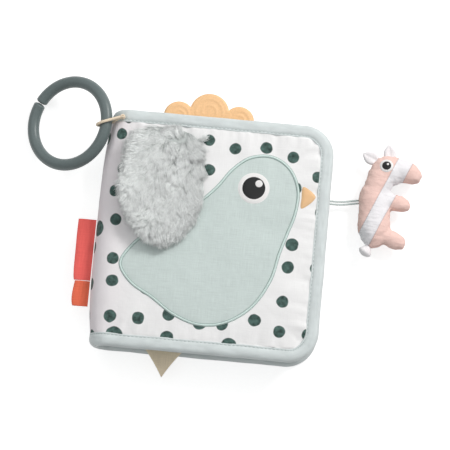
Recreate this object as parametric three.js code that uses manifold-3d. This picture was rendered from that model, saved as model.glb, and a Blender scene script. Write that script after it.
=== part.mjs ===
// A crinkle cloth book for a baby, lying shut on its back cover: padded covers with bound edges and a
// round spine, two padded leaves, a ring on an elastic loop, a plush wing flap, a silicone teether,
// woven tabs and a small stuffed pony on a tether. Millimetres, +Z up, X from the spine to the
// fore-edge, Y to the top edge. The origin is the centre of the back cover's outer face.
import * as THREE from "three";
import { mergeVertices } from "three/addons/utils/BufferGeometryUtils.js";
import Module from "manifold-3d";

const wasm = await Module();
wasm.setup();

// Driving sizes of the book
const bookHeight = 162;
const bookWidth = 156;
const bookThickness = 32;
const coverThickness = 5;
const cornerRadius = 21;
const spinePull = 5; // the bound ends draw the round spine in by this much
const spinePullPower = 4;
const clearance = 0.3; // between sewn neighbours that don't share a flat face
const hingeGap = 0.4; // the fold line lies this far outside the spine cloth
const overrun = 12; // how far cutting bodies pass what they cut
const mergeTolerance = 0.0001;
const arcSteps = 6;
const spineStations = 12;

// Cloth layers
const clothThickness = 0.6;
const filmThickness = 0.4;
const bindingWidth = 7;
const bindingWall = 1.2;
const bindingTuck = 1.25; // how far the cover cloth runs under the tape before it thins

// Inner leaves
const leafInset = 3;
const leafStart = 15;
const leafMidGap = 0.6; // from the book's middle plane to a leaf
const leafThickness = 8.2;
const tongueThickness = 0.8;
const tongueStart = 6.4;
const tongueLap = 4;
const tongueMargin = 26;

// Bird applique on the front cover
const birdSpan = 120;
const birdLeft = 20;
const birdBase = 20;
const appliqueThickness = 0.8;
const stitchWidth = 1.4;
const stitchHeight = 1.1;
const eyeShares = [0.7, 0.79]; // of the bird's span, from its lower left
const eyeWhiteRadius = 11.3;
const eyeDarkRadius = 8.3;
const eyeGlintRadius = 2.7;
const eyeGlintShift = 3.2;
const embroideryHeight = 0.5;
const roundSides = 24;
const birdCurveSteps = 63;

// Plush wing flap
const flapLeft = 12.5;
const flapRight = 73;
const flapBottom = 69.8;
const flapTopMargin = 8.2;
const flapBackingThickness = 1;
const flapPileHeight = 6.5;
const flapSquareness = 2.5; // 2 would be an ellipse
const flapSides = 36;

// Ring on its elastic loop
const ringRadius = 29.2; // to the middle of the tube
const ringTube = 4;
const ringDrop = 10.5; // ring centre below the book's top edge
const ringTouchAngle = 41; // degrees up the spine's shoulder where the ring leans on it
const ringGapAngle = 150; // degrees from +X to the slit, anticlockwise
const ringSlit = 1;
const ringSteps = 36;
const ringSides = 10;
const ringEndShares = [0.45, 0.8, 0.95, 1];
const loopStrand = 2;
const loopKnotRadius = 1.8;
const loopAnchorX = 11.3;
const loopAnchorDrop = 6.4; // knot below the book's top edge
const loopKnotHalfHeight = 3.05;
const loopAnchorRise = 3.9; // knot centre above the cover's cloth
const loopRunGap = 0.3; // between the two runs at the knot
const loopSlack = 0.85;
const loopTopAngle = 100; // where the runs leave the tube, from outwards and level
const loopLowAngle = -142;
const loopSteps = 13;
const loopSides = 8;

// Woven tabs sewn into the spine
const tabThickness = 0.5;
const tabReach = 12.4;
const longTabBottom = 45.5;
const longTabTop = 86.5;
const shortTabBottom = 26.8;
const shortTabTop = 43.8;
const shortTabReach = 11.4;

// Silicone teether and cream corner at the leaves' edges
const teetherThickness = 5;
const teetherLeft = 38;
const teetherRight = 100;
const teetherReach = 18.2; // middle lobe beyond the book's top edge
const teetherShoulderReach = 11;
const teetherSideShare = 1 / 6; // radius of a side lobe, of the width
const teetherTopShare = 0.217; // radius of the middle lobe, of the width
const cornerTabThickness = 1.4;
const cornerTabLeft = 40.4;
const cornerTabRight = 66.4;
const cornerTabTip = 53.4;
const cornerTabDrop = 15.6;
const cornerTabRounding = 1.6;

// Tether and its patch
const tetherDiameter = 1.5;
const tetherSides = 8;
const tetherSteps = 32;
const tetherStrandGap = 0.5;
const patchLength = 12;
const patchWidth = 9;
const patchThickness = 0.6;
const patchX = 65;
const patchY = 107.9;

// Stuffed pony
const toyGap = 31; // from the fore-edge to the pony's middle
const toyY = 110;
const toyHalfThickness = 10;
const toyBodyHalfLength = 25;
const toyBodyHalfHeight = 11.5;
const toyHeadHalfHeight = 11;
const toyMuzzleHalfHeight = 7;
const toyLegRadius = 5.8;
const toyEarWidth = 8;
const toyEarThickness = 3;
const toyTailRadius = 2.2;
const toyEyeRadius = 1.9;
const toyEyeHeight = 0.9;
const toySides = 12;
const toyCut = 0.35; // gap where a smaller stuffed piece meets a larger one

const halfThickness = bookThickness / 2;
const ringCentreY = bookHeight - ringDrop;
const loopAnchorY = bookHeight - loopAnchorDrop;
const teetherTop = bookHeight + teetherReach;
const teetherShoulder = bookHeight + teetherShoulderReach;
const flapTop = bookHeight - flapTopMargin;
const toyX = bookWidth + toyGap;
const hingeX = -hingeGap;
const strandPitch = tetherDiameter + tetherStrandGap;
const degree = Math.PI / 180;

// Materials
function material(color, roughness) {
  return new THREE.MeshStandardMaterial({ color, roughness, metalness: 0 });
}

const colours = {
  whiteCloth: "#f3f3f3",
  sageCloth: "#c6d4cf",
  binding: "#cdd6d6",
  lining: "#e4e0dc",
  pinkCloth: "#e3cfcd",
  wadding: "#f6f5f0",
  film: "#dfe6ea",
  mintThread: "#d0e8e0",
  plush: "#cdd2d0",
  darkThread: "#1e2022",
  eyeWhite: "#f5eeec",
  ring: "#75837f",
  elastic: "#eec8a5",
  redTab: "#f05855",
  orangeTab: "#e85c42",
  peach: "#f8cb92",
  cream: "#e2d4be",
  tether: "#bed2ce",
  toyPink: "#eecdc4",
  toyWhite: "#f0eef0",
};

// Closed bodies
const group = new THREE.Group();
const book = new THREE.Group();
group.add(book);

// A manifold solid from triangle corners; faces that point inwards are turned round.
function solidFrom(geometry) {
  const bare = geometry.index ? geometry.toNonIndexed() : geometry.clone();
  bare.deleteAttribute("normal");
  bare.deleteAttribute("uv");
  const merged = mergeVertices(bare, mergeTolerance);
  const corners = merged.attributes.position.array;
  const triangles = Uint32Array.from(merged.index.array);
  let volume = 0;
  const a = new THREE.Vector3();
  const b = new THREE.Vector3();
  const c = new THREE.Vector3();
  for (let i = 0; i < triangles.length; i += 3) {
    a.fromArray(corners, 3 * triangles[i]);
    b.fromArray(corners, 3 * triangles[i + 1]);
    c.fromArray(corners, 3 * triangles[i + 2]);
    volume += a.dot(b.cross(c));
  }
  if (volume < 0) triangles.reverse();
  return new wasm.Manifold(
    new wasm.Mesh({ numProp: 3, vertProperties: corners, triVerts: triangles }),
  );
}

function geometryFrom(solid) {
  const mesh = solid.getMesh();
  const positions = new Float32Array(mesh.numVert * 3);
  for (let i = 0; i < mesh.numVert; i++) {
    positions.set(
      mesh.vertProperties.subarray(i * mesh.numProp, i * mesh.numProp + 3),
      i * 3,
    );
  }
  const geometry = new THREE.BufferGeometry();
  geometry.setAttribute("position", new THREE.BufferAttribute(positions, 3));
  geometry.setIndex(new THREE.BufferAttribute(mesh.triVerts, 1));
  geometry.computeVertexNormals();
  return geometry;
}

function addNode(name, solid, color, roughness = 0.9) {
  const mesh = new THREE.Mesh(geometryFrom(solid), material(color, roughness));
  mesh.name = name;
  book.add(mesh);
}

// Joins equal closed sections, each a list of Vector3, into one capped body.
function loft(sections) {
  const count = sections[0].length;
  const positions = sections.flat().flatMap((p) => [p.x, p.y, p.z]);
  const triangles = [];
  for (let s = 0; s + 1 < sections.length; s++) {
    for (let i = 0; i < count; i++) {
      const j = (i + 1) % count;
      const near = s * count;
      const far = near + count;
      triangles.push(near + i, near + j, far + j, near + i, far + j, far + i);
    }
  }
  [0, sections.length - 1].forEach((s) => {
    const faces = capTriangles(sections[s]);
    const base = s * count;
    faces.forEach(([i, j, k]) => {
      triangles.push(
        ...(s === 0 ? [base + k, base + j, base + i] : [base + i, base + j, base + k]),
      );
    });
  });
  const geometry = new THREE.BufferGeometry();
  geometry.setAttribute(
    "position",
    new THREE.Float32BufferAttribute(positions, 3),
  );
  geometry.setIndex(triangles);
  return solidFrom(geometry);
}

// Triangles of a flat section, turned to run the same way round as the section itself.
function capTriangles(section) {
  const normal = new THREE.Vector3();
  section.forEach((p, i) => {
    normal.add(p.clone().cross(section[(i + 1) % section.length]));
  });
  normal.normalize();
  const u = new THREE.Vector3().subVectors(section[1], section[0]).normalize();
  const v = new THREE.Vector3().crossVectors(normal, u);
  const flat = section.map((p) => new THREE.Vector2(p.dot(u), p.dot(v)));
  return THREE.ShapeUtils.triangulateShape(flat, []);
}

// A flat outline, a list of Vector2, raised from one height to another.
function prism(outline, low, high) {
  const geometry = new THREE.ExtrudeGeometry(new THREE.Shape(outline), {
    depth: high - low,
    bevelEnabled: false,
  });
  geometry.translate(0, 0, low);
  return solidFrom(geometry);
}

function arcPoints(x, y, radius, from, to, steps) {
  const points = [];
  for (let i = 0; i <= steps; i++) {
    const angle = (from + ((to - from) * i) / steps) * degree;
    points.push(
      new THREE.Vector2(x + radius * Math.cos(angle), y + radius * Math.sin(angle)),
    );
  }
  return points;
}

function disc(x, y, radius, low, high) {
  const outline = arcPoints(x, y, radius, 0, 360, roundSides).slice(1);
  return prism(outline, low, high);
}

// A tube of round section with flat ends along a list of points.
function tube(points, radius, sides) {
  const frames = points.map((p, i) => {
    const before = points[Math.max(i - 1, 0)];
    const after = points[Math.min(i + 1, points.length - 1)];
    return new THREE.Vector3().subVectors(after, before).normalize();
  });
  const side = sideways(frames[0]);
  const sections = points.map((p, i) => {
    side.addScaledVector(frames[i], -side.dot(frames[i])).normalize();
    const up = new THREE.Vector3().crossVectors(frames[i], side);
    return Array.from({ length: sides }, (_, k) => {
      const angle = ((k + 0.5) * 2 * Math.PI) / sides;
      return p
        .clone()
        .addScaledVector(side, radius * Math.cos(angle))
        .addScaledVector(up, radius * Math.sin(angle));
    });
  });
  return loft(sections);
}

function sideways(direction) {
  const up = new THREE.Vector3(0, 0, 1);
  return new THREE.Vector3().crossVectors(direction, up).normalize();
}

// Outline of a cover or leaf, inset on its three free sides, from a given line near the spine.
function pageOutline(inset, start) {
  const radius = cornerRadius - inset;
  const innerX = bookWidth - cornerRadius;
  return [
    new THREE.Vector2(start, inset),
    ...arcPoints(innerX, cornerRadius, radius, -90, 0, arcSteps),
    ...arcPoints(innerX, bookHeight - cornerRadius, radius, 0, 90, arcSteps),
    new THREE.Vector2(start, bookHeight - inset),
  ];
}

function pagePrism(inset, start = -overrun) {
  return prism(pageOutline(inset, start), -overrun, bookThickness + overrun);
}

// How far the spine is drawn in at a height along the book.
function pullAt(y) {
  const share = Math.min(Math.abs((2 * y) / bookHeight - 1), 1);
  return spinePull * share ** spinePullPower;
}

// A point on the round spine's shoulder; depth runs inwards from the cloth, angle up from level.
function shoulderPoint(angle, depth, y, side) {
  const centre = halfThickness;
  const across = halfThickness - pullAt(y) - depth;
  const up = halfThickness - depth;
  return new THREE.Vector3(
    centre - across * Math.cos(angle),
    y,
    centre + side * up * Math.sin(angle),
  );
}

// One layer of a cover, wrapped round its half of the spine: side is 1 for the front, -1 for the back.
function coverLayer(depth, thickness, side, innerDepth = depth + thickness) {
  const skirt = bookWidth + overrun;
  const stations = Array.from({ length: spineStations + 1 }, (_, i) => {
    return -overrun + ((bookHeight + 2 * overrun) * i) / spineStations;
  });
  const path = (atDepth, y) => {
    const start = Math.asin(clearance / 2 / (halfThickness - atDepth));
    const run = [];
    for (let i = 0; i <= arcSteps; i++) {
      const angle = start + ((Math.PI / 2 - start) * i) / arcSteps;
      run.push(shoulderPoint(angle, atDepth, y, side));
    }
    run.push(
      new THREE.Vector3(skirt, y, halfThickness + side * (halfThickness - atDepth)),
    );
    return run;
  };
  return loft(
    stations.map((y) => [...path(depth, y), ...path(innerDepth, y).reverse()]),
  );
}

// The cover's sewn sandwich and its edge binding
function addCover(prefix, side, outerColour) {
  const rimDepth = bindingWall + clearance;
  const rimInset = bindingWall + clearance;
  const openInset = bindingWidth + clearance;
  const lapInset = openInset + bindingTuck;
  const halfRim = (coverThickness - 2 * rimDepth - clearance) / 2;
  const open = pagePrism(openInset);
  const lap = pagePrism(openInset).subtract(pagePrism(lapInset));
  const rim = pagePrism(rimInset).subtract(pagePrism(lapInset));

  const outer = coverLayer(0, clothThickness, side)
    .intersect(open)
    .add(coverLayer(0, rimDepth + halfRim, side).intersect(lap))
    .add(coverLayer(rimDepth, halfRim, side).intersect(rim));
  addNode(prefix + "_outer_cloth", outer, outerColour);

  const liningDepth = coverThickness - clothThickness;
  const liningRimDepth = coverThickness - rimDepth - halfRim;
  const lining = coverLayer(liningDepth, clothThickness, side)
    .intersect(open)
    .add(coverLayer(liningRimDepth, coverThickness - liningRimDepth, side).intersect(lap))
    .add(coverLayer(liningRimDepth, halfRim, side).intersect(rim));
  addNode(prefix + "_lining", lining, colours.lining);

  const inside = pagePrism(lapInset + clearance);
  const filmDepth = liningDepth - clearance - filmThickness;
  const paddingDepth = clothThickness + clearance;
  const padding = coverLayer(paddingDepth, filmDepth - clearance - paddingDepth, side);
  addNode(prefix + "_padding", padding.intersect(inside), colours.wadding, 1);
  const film = coverLayer(filmDepth, filmThickness, side).intersect(inside);
  addNode(prefix + "_crinkle_film", film, colours.film, 0.4);

  const channel = coverLayer(
    bindingWall,
    coverThickness - 2 * bindingWall,
    side,
  ).intersect(pagePrism(bindingWall));
  const binding = coverLayer(0, coverThickness, side)
    .intersect(pagePrism(0))
    .subtract(pagePrism(bindingWidth))
    .subtract(channel);
  addNode(prefix + "_binding", binding, colours.binding);
}

// An inner leaf: low is its lower face and side says which way its tongue lies.
function addLeaf(prefix, side, lowerColour, upperColour) {
  const near = halfThickness + side * leafMidGap;
  const far = halfThickness + side * (leafMidGap + leafThickness);
  const low = Math.min(near, far);
  const high = Math.max(near, far);
  const openInset = leafInset + bindingWidth + clearance;
  const rimInset = leafInset + bindingWall + clearance;
  const slab = (inset, bottom, top) => prism(pageOutline(inset, leafStart), bottom, top);
  const filmLow = high - clothThickness - clearance - filmThickness;
  const filmHigh = filmLow + filmThickness;
  const paddingLow = low + clothThickness + clearance;
  const paddingHigh = filmLow - clearance;
  const middle = (low + high) / 2;
  const channelHalf = leafThickness / 2 - bindingWall;
  const rimHalf = channelHalf - clearance;

  addNode(
    prefix + "_lower_panel",
    slab(openInset, low, low + clothThickness),
    lowerColour,
  );
  addNode(
    prefix + "_upper_panel",
    slab(openInset, high - clothThickness, high),
    upperColour,
  );
  const padding = slab(openInset, paddingLow, paddingHigh).add(
    slab(rimInset, Math.max(middle - rimHalf, paddingLow), Math.min(middle + rimHalf, paddingHigh)),
  );
  addNode(prefix + "_padding", padding, colours.wadding, 1);
  addNode(
    prefix + "_crinkle_film",
    slab(openInset, filmLow, filmHigh),
    colours.film,
    0.4,
  );
  const binding = slab(leafInset, low, high)
    .subtract(pagePrism(leafInset + bindingWidth, leafStart - overrun))
    .subtract(
      prism(
        pageOutline(leafInset + bindingWall, leafStart - overrun),
        middle - channelHalf,
        middle + channelHalf,
      ),
    );
  addNode(prefix + "_binding", binding, colours.binding);

  const tongueLow = side > 0 ? low : high - tongueThickness;
  const tongueEnd = leafStart - clearance;
  const tongueOutline = [
    new THREE.Vector2(tongueStart, tongueMargin),
    new THREE.Vector2(tongueEnd, tongueMargin - tongueLap),
    new THREE.Vector2(tongueEnd, bookHeight - tongueMargin + tongueLap),
    new THREE.Vector2(tongueStart, bookHeight - tongueMargin),
  ];
  addNode(
    prefix + "_tongue",
    prism(tongueOutline, tongueLow, tongueLow + tongueThickness),
    colours.binding,
  );
  return { low, high, middle };
}

// Bird on the front cover: a round body with the tail at the spine side and the head at the upper right
const birdOutlineShares = [
  [0.0, 0.3],
  [0.07, 0.2],
  [0.19, 0.13],
  [0.32, 0.045],
  [0.47, 0.0],
  [0.62, 0.03],
  [0.75, 0.13],
  [0.835, 0.28],
  [0.87, 0.43],
  [0.905, 0.55],
  [0.94, 0.67],
  [0.945, 0.8],
  [0.89, 0.915],
  [0.79, 0.975],
  [0.67, 0.96],
  [0.575, 0.885],
  [0.5, 0.78],
  [0.4, 0.68],
  [0.27, 0.6],
  [0.15, 0.5],
  [0.05, 0.4],
];
const beakShares = [
  [0.965, 0.83],
  [1.045, 0.77],
  [0.965, 0.7],
];

function birdPoint([across, up]) {
  return new THREE.Vector3(birdLeft + birdSpan * across, birdBase + birdSpan * up, 0);
}

function birdOutline(grow) {
  const curve = new THREE.CatmullRomCurve3(
    birdOutlineShares.map(birdPoint),
    true,
    "centripetal",
  );
  return Array.from({ length: birdCurveSteps }, (_, i) => {
    const share = i / birdCurveSteps;
    const point = curve.getPointAt(share);
    const along = curve.getTangentAt(share);
    return new THREE.Vector2(point.x + grow * along.y, point.y - grow * along.x);
  });
}

function addCoverArt() {
  const top = bookThickness;
  const applique = prism(birdOutline(0), top, top + appliqueThickness);
  addNode("bird_applique", applique, colours.sageCloth);
  const stitching = prism(
    birdOutline(clearance + stitchWidth),
    top,
    top + stitchHeight,
  ).subtract(prism(birdOutline(clearance), top - overrun, top + overrun));
  addNode("bird_outline_stitching", stitching, colours.mintThread, 0.6);
  const beakOutline = beakShares.map((share) => {
    const point = birdPoint(share);
    return new THREE.Vector2(point.x + stitchWidth, point.y);
  });
  addNode("bird_beak", prism(beakOutline, top, top + appliqueThickness), colours.peach);
  const eye = birdPoint(eyeShares);
  const eyeLow = top + appliqueThickness;
  const darkLow = eyeLow + embroideryHeight;
  const glintLow = darkLow + embroideryHeight;
  addNode(
    "eye_white_embroidery",
    disc(eye.x, eye.y, eyeWhiteRadius, eyeLow, darkLow),
    colours.eyeWhite,
    0.6,
  );
  addNode(
    "eye_dark_embroidery",
    disc(eye.x, eye.y, eyeDarkRadius, darkLow, glintLow),
    colours.darkThread,
    0.5,
  );
  addNode(
    "eye_glint_embroidery",
    disc(
      eye.x + eyeGlintShift,
      eye.y + eyeGlintShift,
      eyeGlintRadius,
      glintLow,
      glintLow + embroideryHeight,
    ),
    colours.eyeWhite,
    0.6,
  );
}

// The wing flap's outline, between an ellipse and a rectangle
function flapOutline(inset) {
  const halfX = (flapRight - flapLeft) / 2 - inset;
  const halfY = (flapTop - flapBottom) / 2 - inset;
  const x = (flapLeft + flapRight) / 2;
  const y = (flapTop + flapBottom) / 2;
  return Array.from({ length: flapSides }, (_, i) => {
    const angle = (2 * Math.PI * i) / flapSides;
    const reach = (value) => Math.sign(value) * Math.abs(value) ** (2 / flapSquareness);
    return new THREE.Vector2(
      x + halfX * reach(Math.cos(angle)),
      y + halfY * reach(Math.sin(angle)),
    );
  });
}

// A crowned slab: rings of its outline rise towards the middle.
const crownInsetShares = [0, 0.012, 0.07, 0.2, 0.42, 0.7, 0.93];
const crownRiseShares = [0.28, 0.5, 0.74, 0.9, 0.975, 1, 1];

function crownedSlab(outlineAt, halfSpan, low, height) {
  const ring = (inset, z) => {
    return outlineAt(inset).map((p) => new THREE.Vector3(p.x, p.y, z));
  };
  const edgeInset = halfSpan * crownInsetShares[2];
  return loft([
    ring(edgeInset, low),
    ...crownInsetShares.map((share, i) => {
      return ring(share * halfSpan, low + height * crownRiseShares[i]);
    }),
  ]);
}

function addFlap() {
  const low = bookThickness + stitchHeight + clearance;
  const backing = prism(flapOutline(0), low, low + flapBackingThickness);
  addNode("wing_flap_backing", backing, colours.sageCloth);
  const pileLow = low + flapBackingThickness + clearance;
  const halfSpan = (flapRight - flapLeft) / 2;
  const pile = crownedSlab(flapOutline, halfSpan, pileLow, flapPileHeight);
  addNode("wing_flap_plush", pile, colours.plush, 1);
}

// Where the ring leans on the shoulder, with the lower run of the elastic between them
function ringPlace() {
  const angle = ringTouchAngle * degree;
  const touch = shoulderPoint(angle, 0, ringCentreY, 1);
  const across = halfThickness - pullAt(ringCentreY);
  const normal = new THREE.Vector3(
    -Math.cos(angle) / across,
    0,
    Math.sin(angle) / halfThickness,
  ).normalize();
  const stand = ringTube + loopStrand + loopSlack + clearance;
  const near = touch.clone().addScaledVector(normal, stand);
  const tilt = Math.asin((near.z - ringTube) / (2 * ringRadius));
  const outward = new THREE.Vector3(Math.cos(tilt), 0, Math.sin(tilt));
  const centre = near.clone().addScaledVector(outward, -ringRadius);
  return { centre, tilt, near, outward };
}

// The ring is slit, so its two domed ends face each other across a hair's breadth.
function addRing() {
  const { centre, outward } = ringPlace();
  const alongY = new THREE.Vector3(0, 1, 0);
  const slitHalf = Math.asin(ringSlit / 2 / ringRadius);
  const domeTurn = ringTube / ringRadius;
  const start = ringGapAngle * degree + slitHalf;
  const turn = 2 * Math.PI - 2 * slitHalf;
  const stations = [];
  const widest = ringEndShares.length - 1;
  ringEndShares.forEach((share, i) => {
    const back = Math.sqrt(1 - share * share);
    stations.push([domeTurn * (1 - back), ringTube * share, i]);
  });
  for (let i = 1; i < ringSteps; i++) {
    stations.push([domeTurn + ((turn - 2 * domeTurn) * i) / ringSteps, ringTube, widest]);
  }
  ringEndShares.toReversed().forEach((share) => {
    const back = Math.sqrt(1 - share * share);
    stations.push([turn - domeTurn * (1 - back), ringTube * share, widest]);
  });
  const sections = stations.map(([angle, radius]) => {
    const radial = outward
      .clone()
      .multiplyScalar(Math.cos(start + angle))
      .addScaledVector(alongY, Math.sin(start + angle));
    const up = new THREE.Vector3().crossVectors(outward, alongY);
    return Array.from({ length: ringSides }, (_, k) => {
      const round = (2 * Math.PI * (k + 0.5)) / ringSides;
      return centre
        .clone()
        .addScaledVector(radial, ringRadius + radius * Math.cos(round))
        .addScaledVector(up, radius * Math.sin(round));
    });
  });
  addNode("stroller_ring", loft(sections), colours.ring, 0.35);
}

// Elastic: out from the knot, over the ring's tube, round its inner side and back beneath it
function addLoop() {
  const { near } = ringPlace();
  const across = halfThickness - pullAt(loopAnchorY);
  const lean = (halfThickness - loopAnchorX) / across;
  const surface = halfThickness * (1 + Math.sqrt(1 - lean * lean));
  const knotZ = surface + loopAnchorRise;
  const knot = new THREE.Vector3(loopAnchorX, loopAnchorY, knotZ);
  const strand = loopStrand / 2;
  const dome = new THREE.SphereGeometry(loopKnotRadius, loopSides, loopSides / 2);
  dome.rotateX(Math.PI / 2);
  dome.scale(1, 1, loopKnotHalfHeight / loopKnotRadius);
  dome.translate(knot.x, knot.y, knot.z);
  addNode("elastic_knot", solidFrom(dome), colours.elastic, 0.7);

  const run = new THREE.Vector3(near.x - knot.x, ringCentreY - knot.y, 0);
  const reach = run.length();
  const out = run.clone().normalize();
  const slant = Math.abs(out.x);
  const wrapZ = ringTube + clearance + strand;
  const wrapS = ringTube / slant + clearance + strand + loopSlack;
  const centreZ = near.z - knot.z;
  const first = loopKnotRadius + 2 * clearance;
  const half = strand + loopRunGap / 2;
  const flat = [new THREE.Vector2(first, half)];
  for (let i = 0; i <= loopSteps; i++) {
    const angle =
      (loopTopAngle + ((loopLowAngle - loopTopAngle) * i) / loopSteps) * degree;
    flat.push(
      new THREE.Vector2(
        reach + wrapS * Math.cos(angle),
        centreZ + wrapZ * Math.sin(angle),
      ),
    );
  }
  flat.push(new THREE.Vector2(first, -half));
  const points = flat.map((p) => {
    return knot.clone().addScaledVector(out, p.x).setZ(knot.z + p.y);
  });
  addNode("elastic_loop", tube(points, strand, loopSides), colours.elastic, 0.7);
}

function box(x0, x1, y0, y1, z0, z1) {
  const outline = [
    new THREE.Vector2(x0, y0),
    new THREE.Vector2(x1, y0),
    new THREE.Vector2(x1, y1),
    new THREE.Vector2(x0, y1),
  ];
  return prism(outline, z0, z1);
}

function addTabs() {
  const low = halfThickness - tabThickness / 2;
  const high = halfThickness + tabThickness / 2;
  const root = hingeX;
  addNode(
    "long_woven_tab",
    box(-tabReach, root, longTabBottom, longTabTop, low, high),
    colours.redTab,
  );
  addNode(
    "short_woven_tab",
    box(-shortTabReach, root, shortTabBottom, shortTabTop, low, high),
    colours.orangeTab,
  );
}

// Scalloped silicone teether: three lobes on a straight root along the leaf's top edge
function addTeether(leaf) {
  const rootY = bookHeight - leafInset + clearance;
  const span = teetherRight - teetherLeft;
  const middle = (teetherLeft + teetherRight) / 2;
  const sideRadius = span * teetherSideShare;
  const topRadius = span * teetherTopShare;
  const lobe = (x, top, radius) => {
    return disc(
      x,
      top - radius,
      radius,
      leaf.middle - teetherThickness / 2,
      leaf.middle + teetherThickness / 2,
    );
  };
  const foot = prism(
    [
      new THREE.Vector2(teetherLeft, rootY),
      new THREE.Vector2(teetherRight, rootY),
      new THREE.Vector2(teetherRight, teetherShoulder - sideRadius),
      new THREE.Vector2(teetherLeft, teetherShoulder - sideRadius),
    ],
    leaf.middle - teetherThickness / 2,
    leaf.middle + teetherThickness / 2,
  );
  const below = box(0, bookWidth, 0, rootY, -overrun, bookThickness + overrun);
  const solid = foot
    .add(lobe(teetherLeft + sideRadius, teetherShoulder, sideRadius))
    .add(lobe(middle, teetherTop, topRadius))
    .add(lobe(teetherRight - sideRadius, teetherShoulder, sideRadius))
    .subtract(below);
  addNode("silicone_teether", solid, colours.peach, 0.5);
}

function addCornerTab(leaf) {
  const rootY = leafInset - clearance;
  const outline = [
    new THREE.Vector2(cornerTabLeft, rootY),
    new THREE.Vector2(cornerTabTip - cornerTabRounding, -cornerTabDrop + cornerTabRounding / 2),
    new THREE.Vector2(cornerTabTip, -cornerTabDrop),
    new THREE.Vector2(cornerTabTip + cornerTabRounding, -cornerTabDrop + cornerTabRounding / 2),
    new THREE.Vector2(cornerTabRight, rootY),
  ];
  addNode(
    "cream_corner_tab",
    prism(outline, leaf.middle - cornerTabThickness / 2, leaf.middle + cornerTabThickness / 2),
    colours.cream,
  );
}

// The tether is one cord doubled back: two strands side by side, from a patch on the back cover's
// lining, over its fore-edge and down to the pony's back. Points are x, y, z.
const tetherRoute = [
  [71.6, 112.4, 6.1],
  [80, 112.3, 6.1],
  [90, 112.4, 6.1],
  [101, 112.9, 6.1],
  [112, 113.5, 6.1],
  [123, 114, 6.1],
  [134, 114.4, 6.1],
  [145, 114.7, 6.1],
  [154, 114.9, 6.1],
  [159.4, 115.1, 5.9],
  [162.2, 115.3, 5.2],
  [164.8, 115.6, 4.7],
  [167.4, 115.9, 4.7],
  [170.2, 116.3, 5.2],
  [172.6, 116.6, 6.2],
  [174.8, 116.8, 7.2],
  [176.2, 116.9, 7.9],
];

function addTether() {
  const low = coverThickness;
  addNode(
    "tether_patch",
    box(
      patchX - patchLength / 2,
      patchX + patchLength / 2,
      patchY,
      patchY + patchWidth,
      low,
      low + patchThickness,
    ),
    colours.lining,
  );
  const names = ["tether_strand_lower", "tether_strand_upper"];
  names.forEach((name, i) => {
    const shift = (i - 1 / 2) * strandPitch;
    const curve = new THREE.CatmullRomCurve3(
      tetherRoute.map(([x, y, z]) => new THREE.Vector3(x, y + shift, z)),
    );
    addNode(
      name,
      tube(curve.getSpacedPoints(tetherSteps), tetherDiameter / 2, tetherSides),
      colours.tether,
      0.8,
    );
  });
}

// Stuffed pony lying on its side, its back to the book and its head towards the book's top
const bodyRadiusShares = [0.34, 0.72, 0.93, 1, 0.97, 0.93, 0.95, 0.9, 0.66, 0.3];

// A swelling and tapering body along a run of points with a radius share at each
function stuffed(points, halfHeight, halfThick, shares) {
  const sections = points.map((p, i) => {
    const next = points[Math.min(i + 1, points.length - 1)];
    const last = points[Math.max(i - 1, 0)];
    const along = new THREE.Vector3().subVectors(next, last).normalize();
    const side = sideways(along);
    return Array.from({ length: toySides }, (_, k) => {
      const angle = (2 * Math.PI * k) / toySides;
      return p
        .clone()
        .addScaledVector(side, halfHeight * shares[i] * Math.cos(angle))
        .add(new THREE.Vector3(0, 0, halfThick * shares[i] * Math.sin(angle)));
    });
  });
  return loft(sections);
}

function runBetween(from, to, steps) {
  return Array.from({ length: steps }, (_, i) => {
    return from.clone().lerp(to, i / (steps - 1));
  });
}

const legShares = [0.85, 0.95, 1, 1.02, 1, 0.86, 0.5];
const headShares = [0.4, 0.76, 0.94, 1, 0.98, 0.88, 0.68, 0.36];
const muzzleShares = [0.7, 0.92, 1, 0.97, 0.78, 0.42];
const earShares = [0.55, 0.9, 1, 0.82, 0.4];
const tailShares = [0.7, 0.75, 0.8, 1, 1.1, 0.6];
const headThickShare = 0.95;
const muzzleThickShare = 0.8;
// Places on the pony, as shares of its body's half length (up the page) and half height (across it)
const toyPlaceShares = {
  rump: [0.16, -0.97],
  chest: [-0.1, 0.97],
  headBack: [-0.3, 1.02],
  headFront: [1.75, 1.36],
  muzzleBack: [1.3, 1.3],
  muzzleFront: [2.65, 1.02],
  frontLegTop: [0.35, 0.42],
  frontLegFoot: [2.15, 0.24],
  rearLegTop: [0.45, -0.56],
  rearLegFoot: [2.0, -0.84],
  tailRoot: [-0.1, -0.93],
  tailTip: [-0.45, -1.2],
  upperEarRoot: [-0.1, 1.45],
  upperEarTip: [-0.9, 1.62],
  lowerEarRoot: [0.72, 1.52],
  lowerEarTip: [0.6, 1.92],
  eye: [0.55, 1.3],
};

function toyPoint(name, z = toyHalfThickness) {
  const [across, up] = toyPlaceShares[name];
  return new THREE.Vector3(
    toyX + toyBodyHalfHeight * across,
    toyY + toyBodyHalfLength * up,
    z,
  );
}

// A smaller stuffed piece without what its larger neighbours take up.
function fitted(smaller, larger) {
  return larger.reduce((solid, cutter) => solid.subtract(cutter), smaller);
}

function largest(solid) {
  const bodies = solid.decompose();
  return bodies.reduce((a, b) => (b.volume() > a.volume() ? b : a));
}

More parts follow.
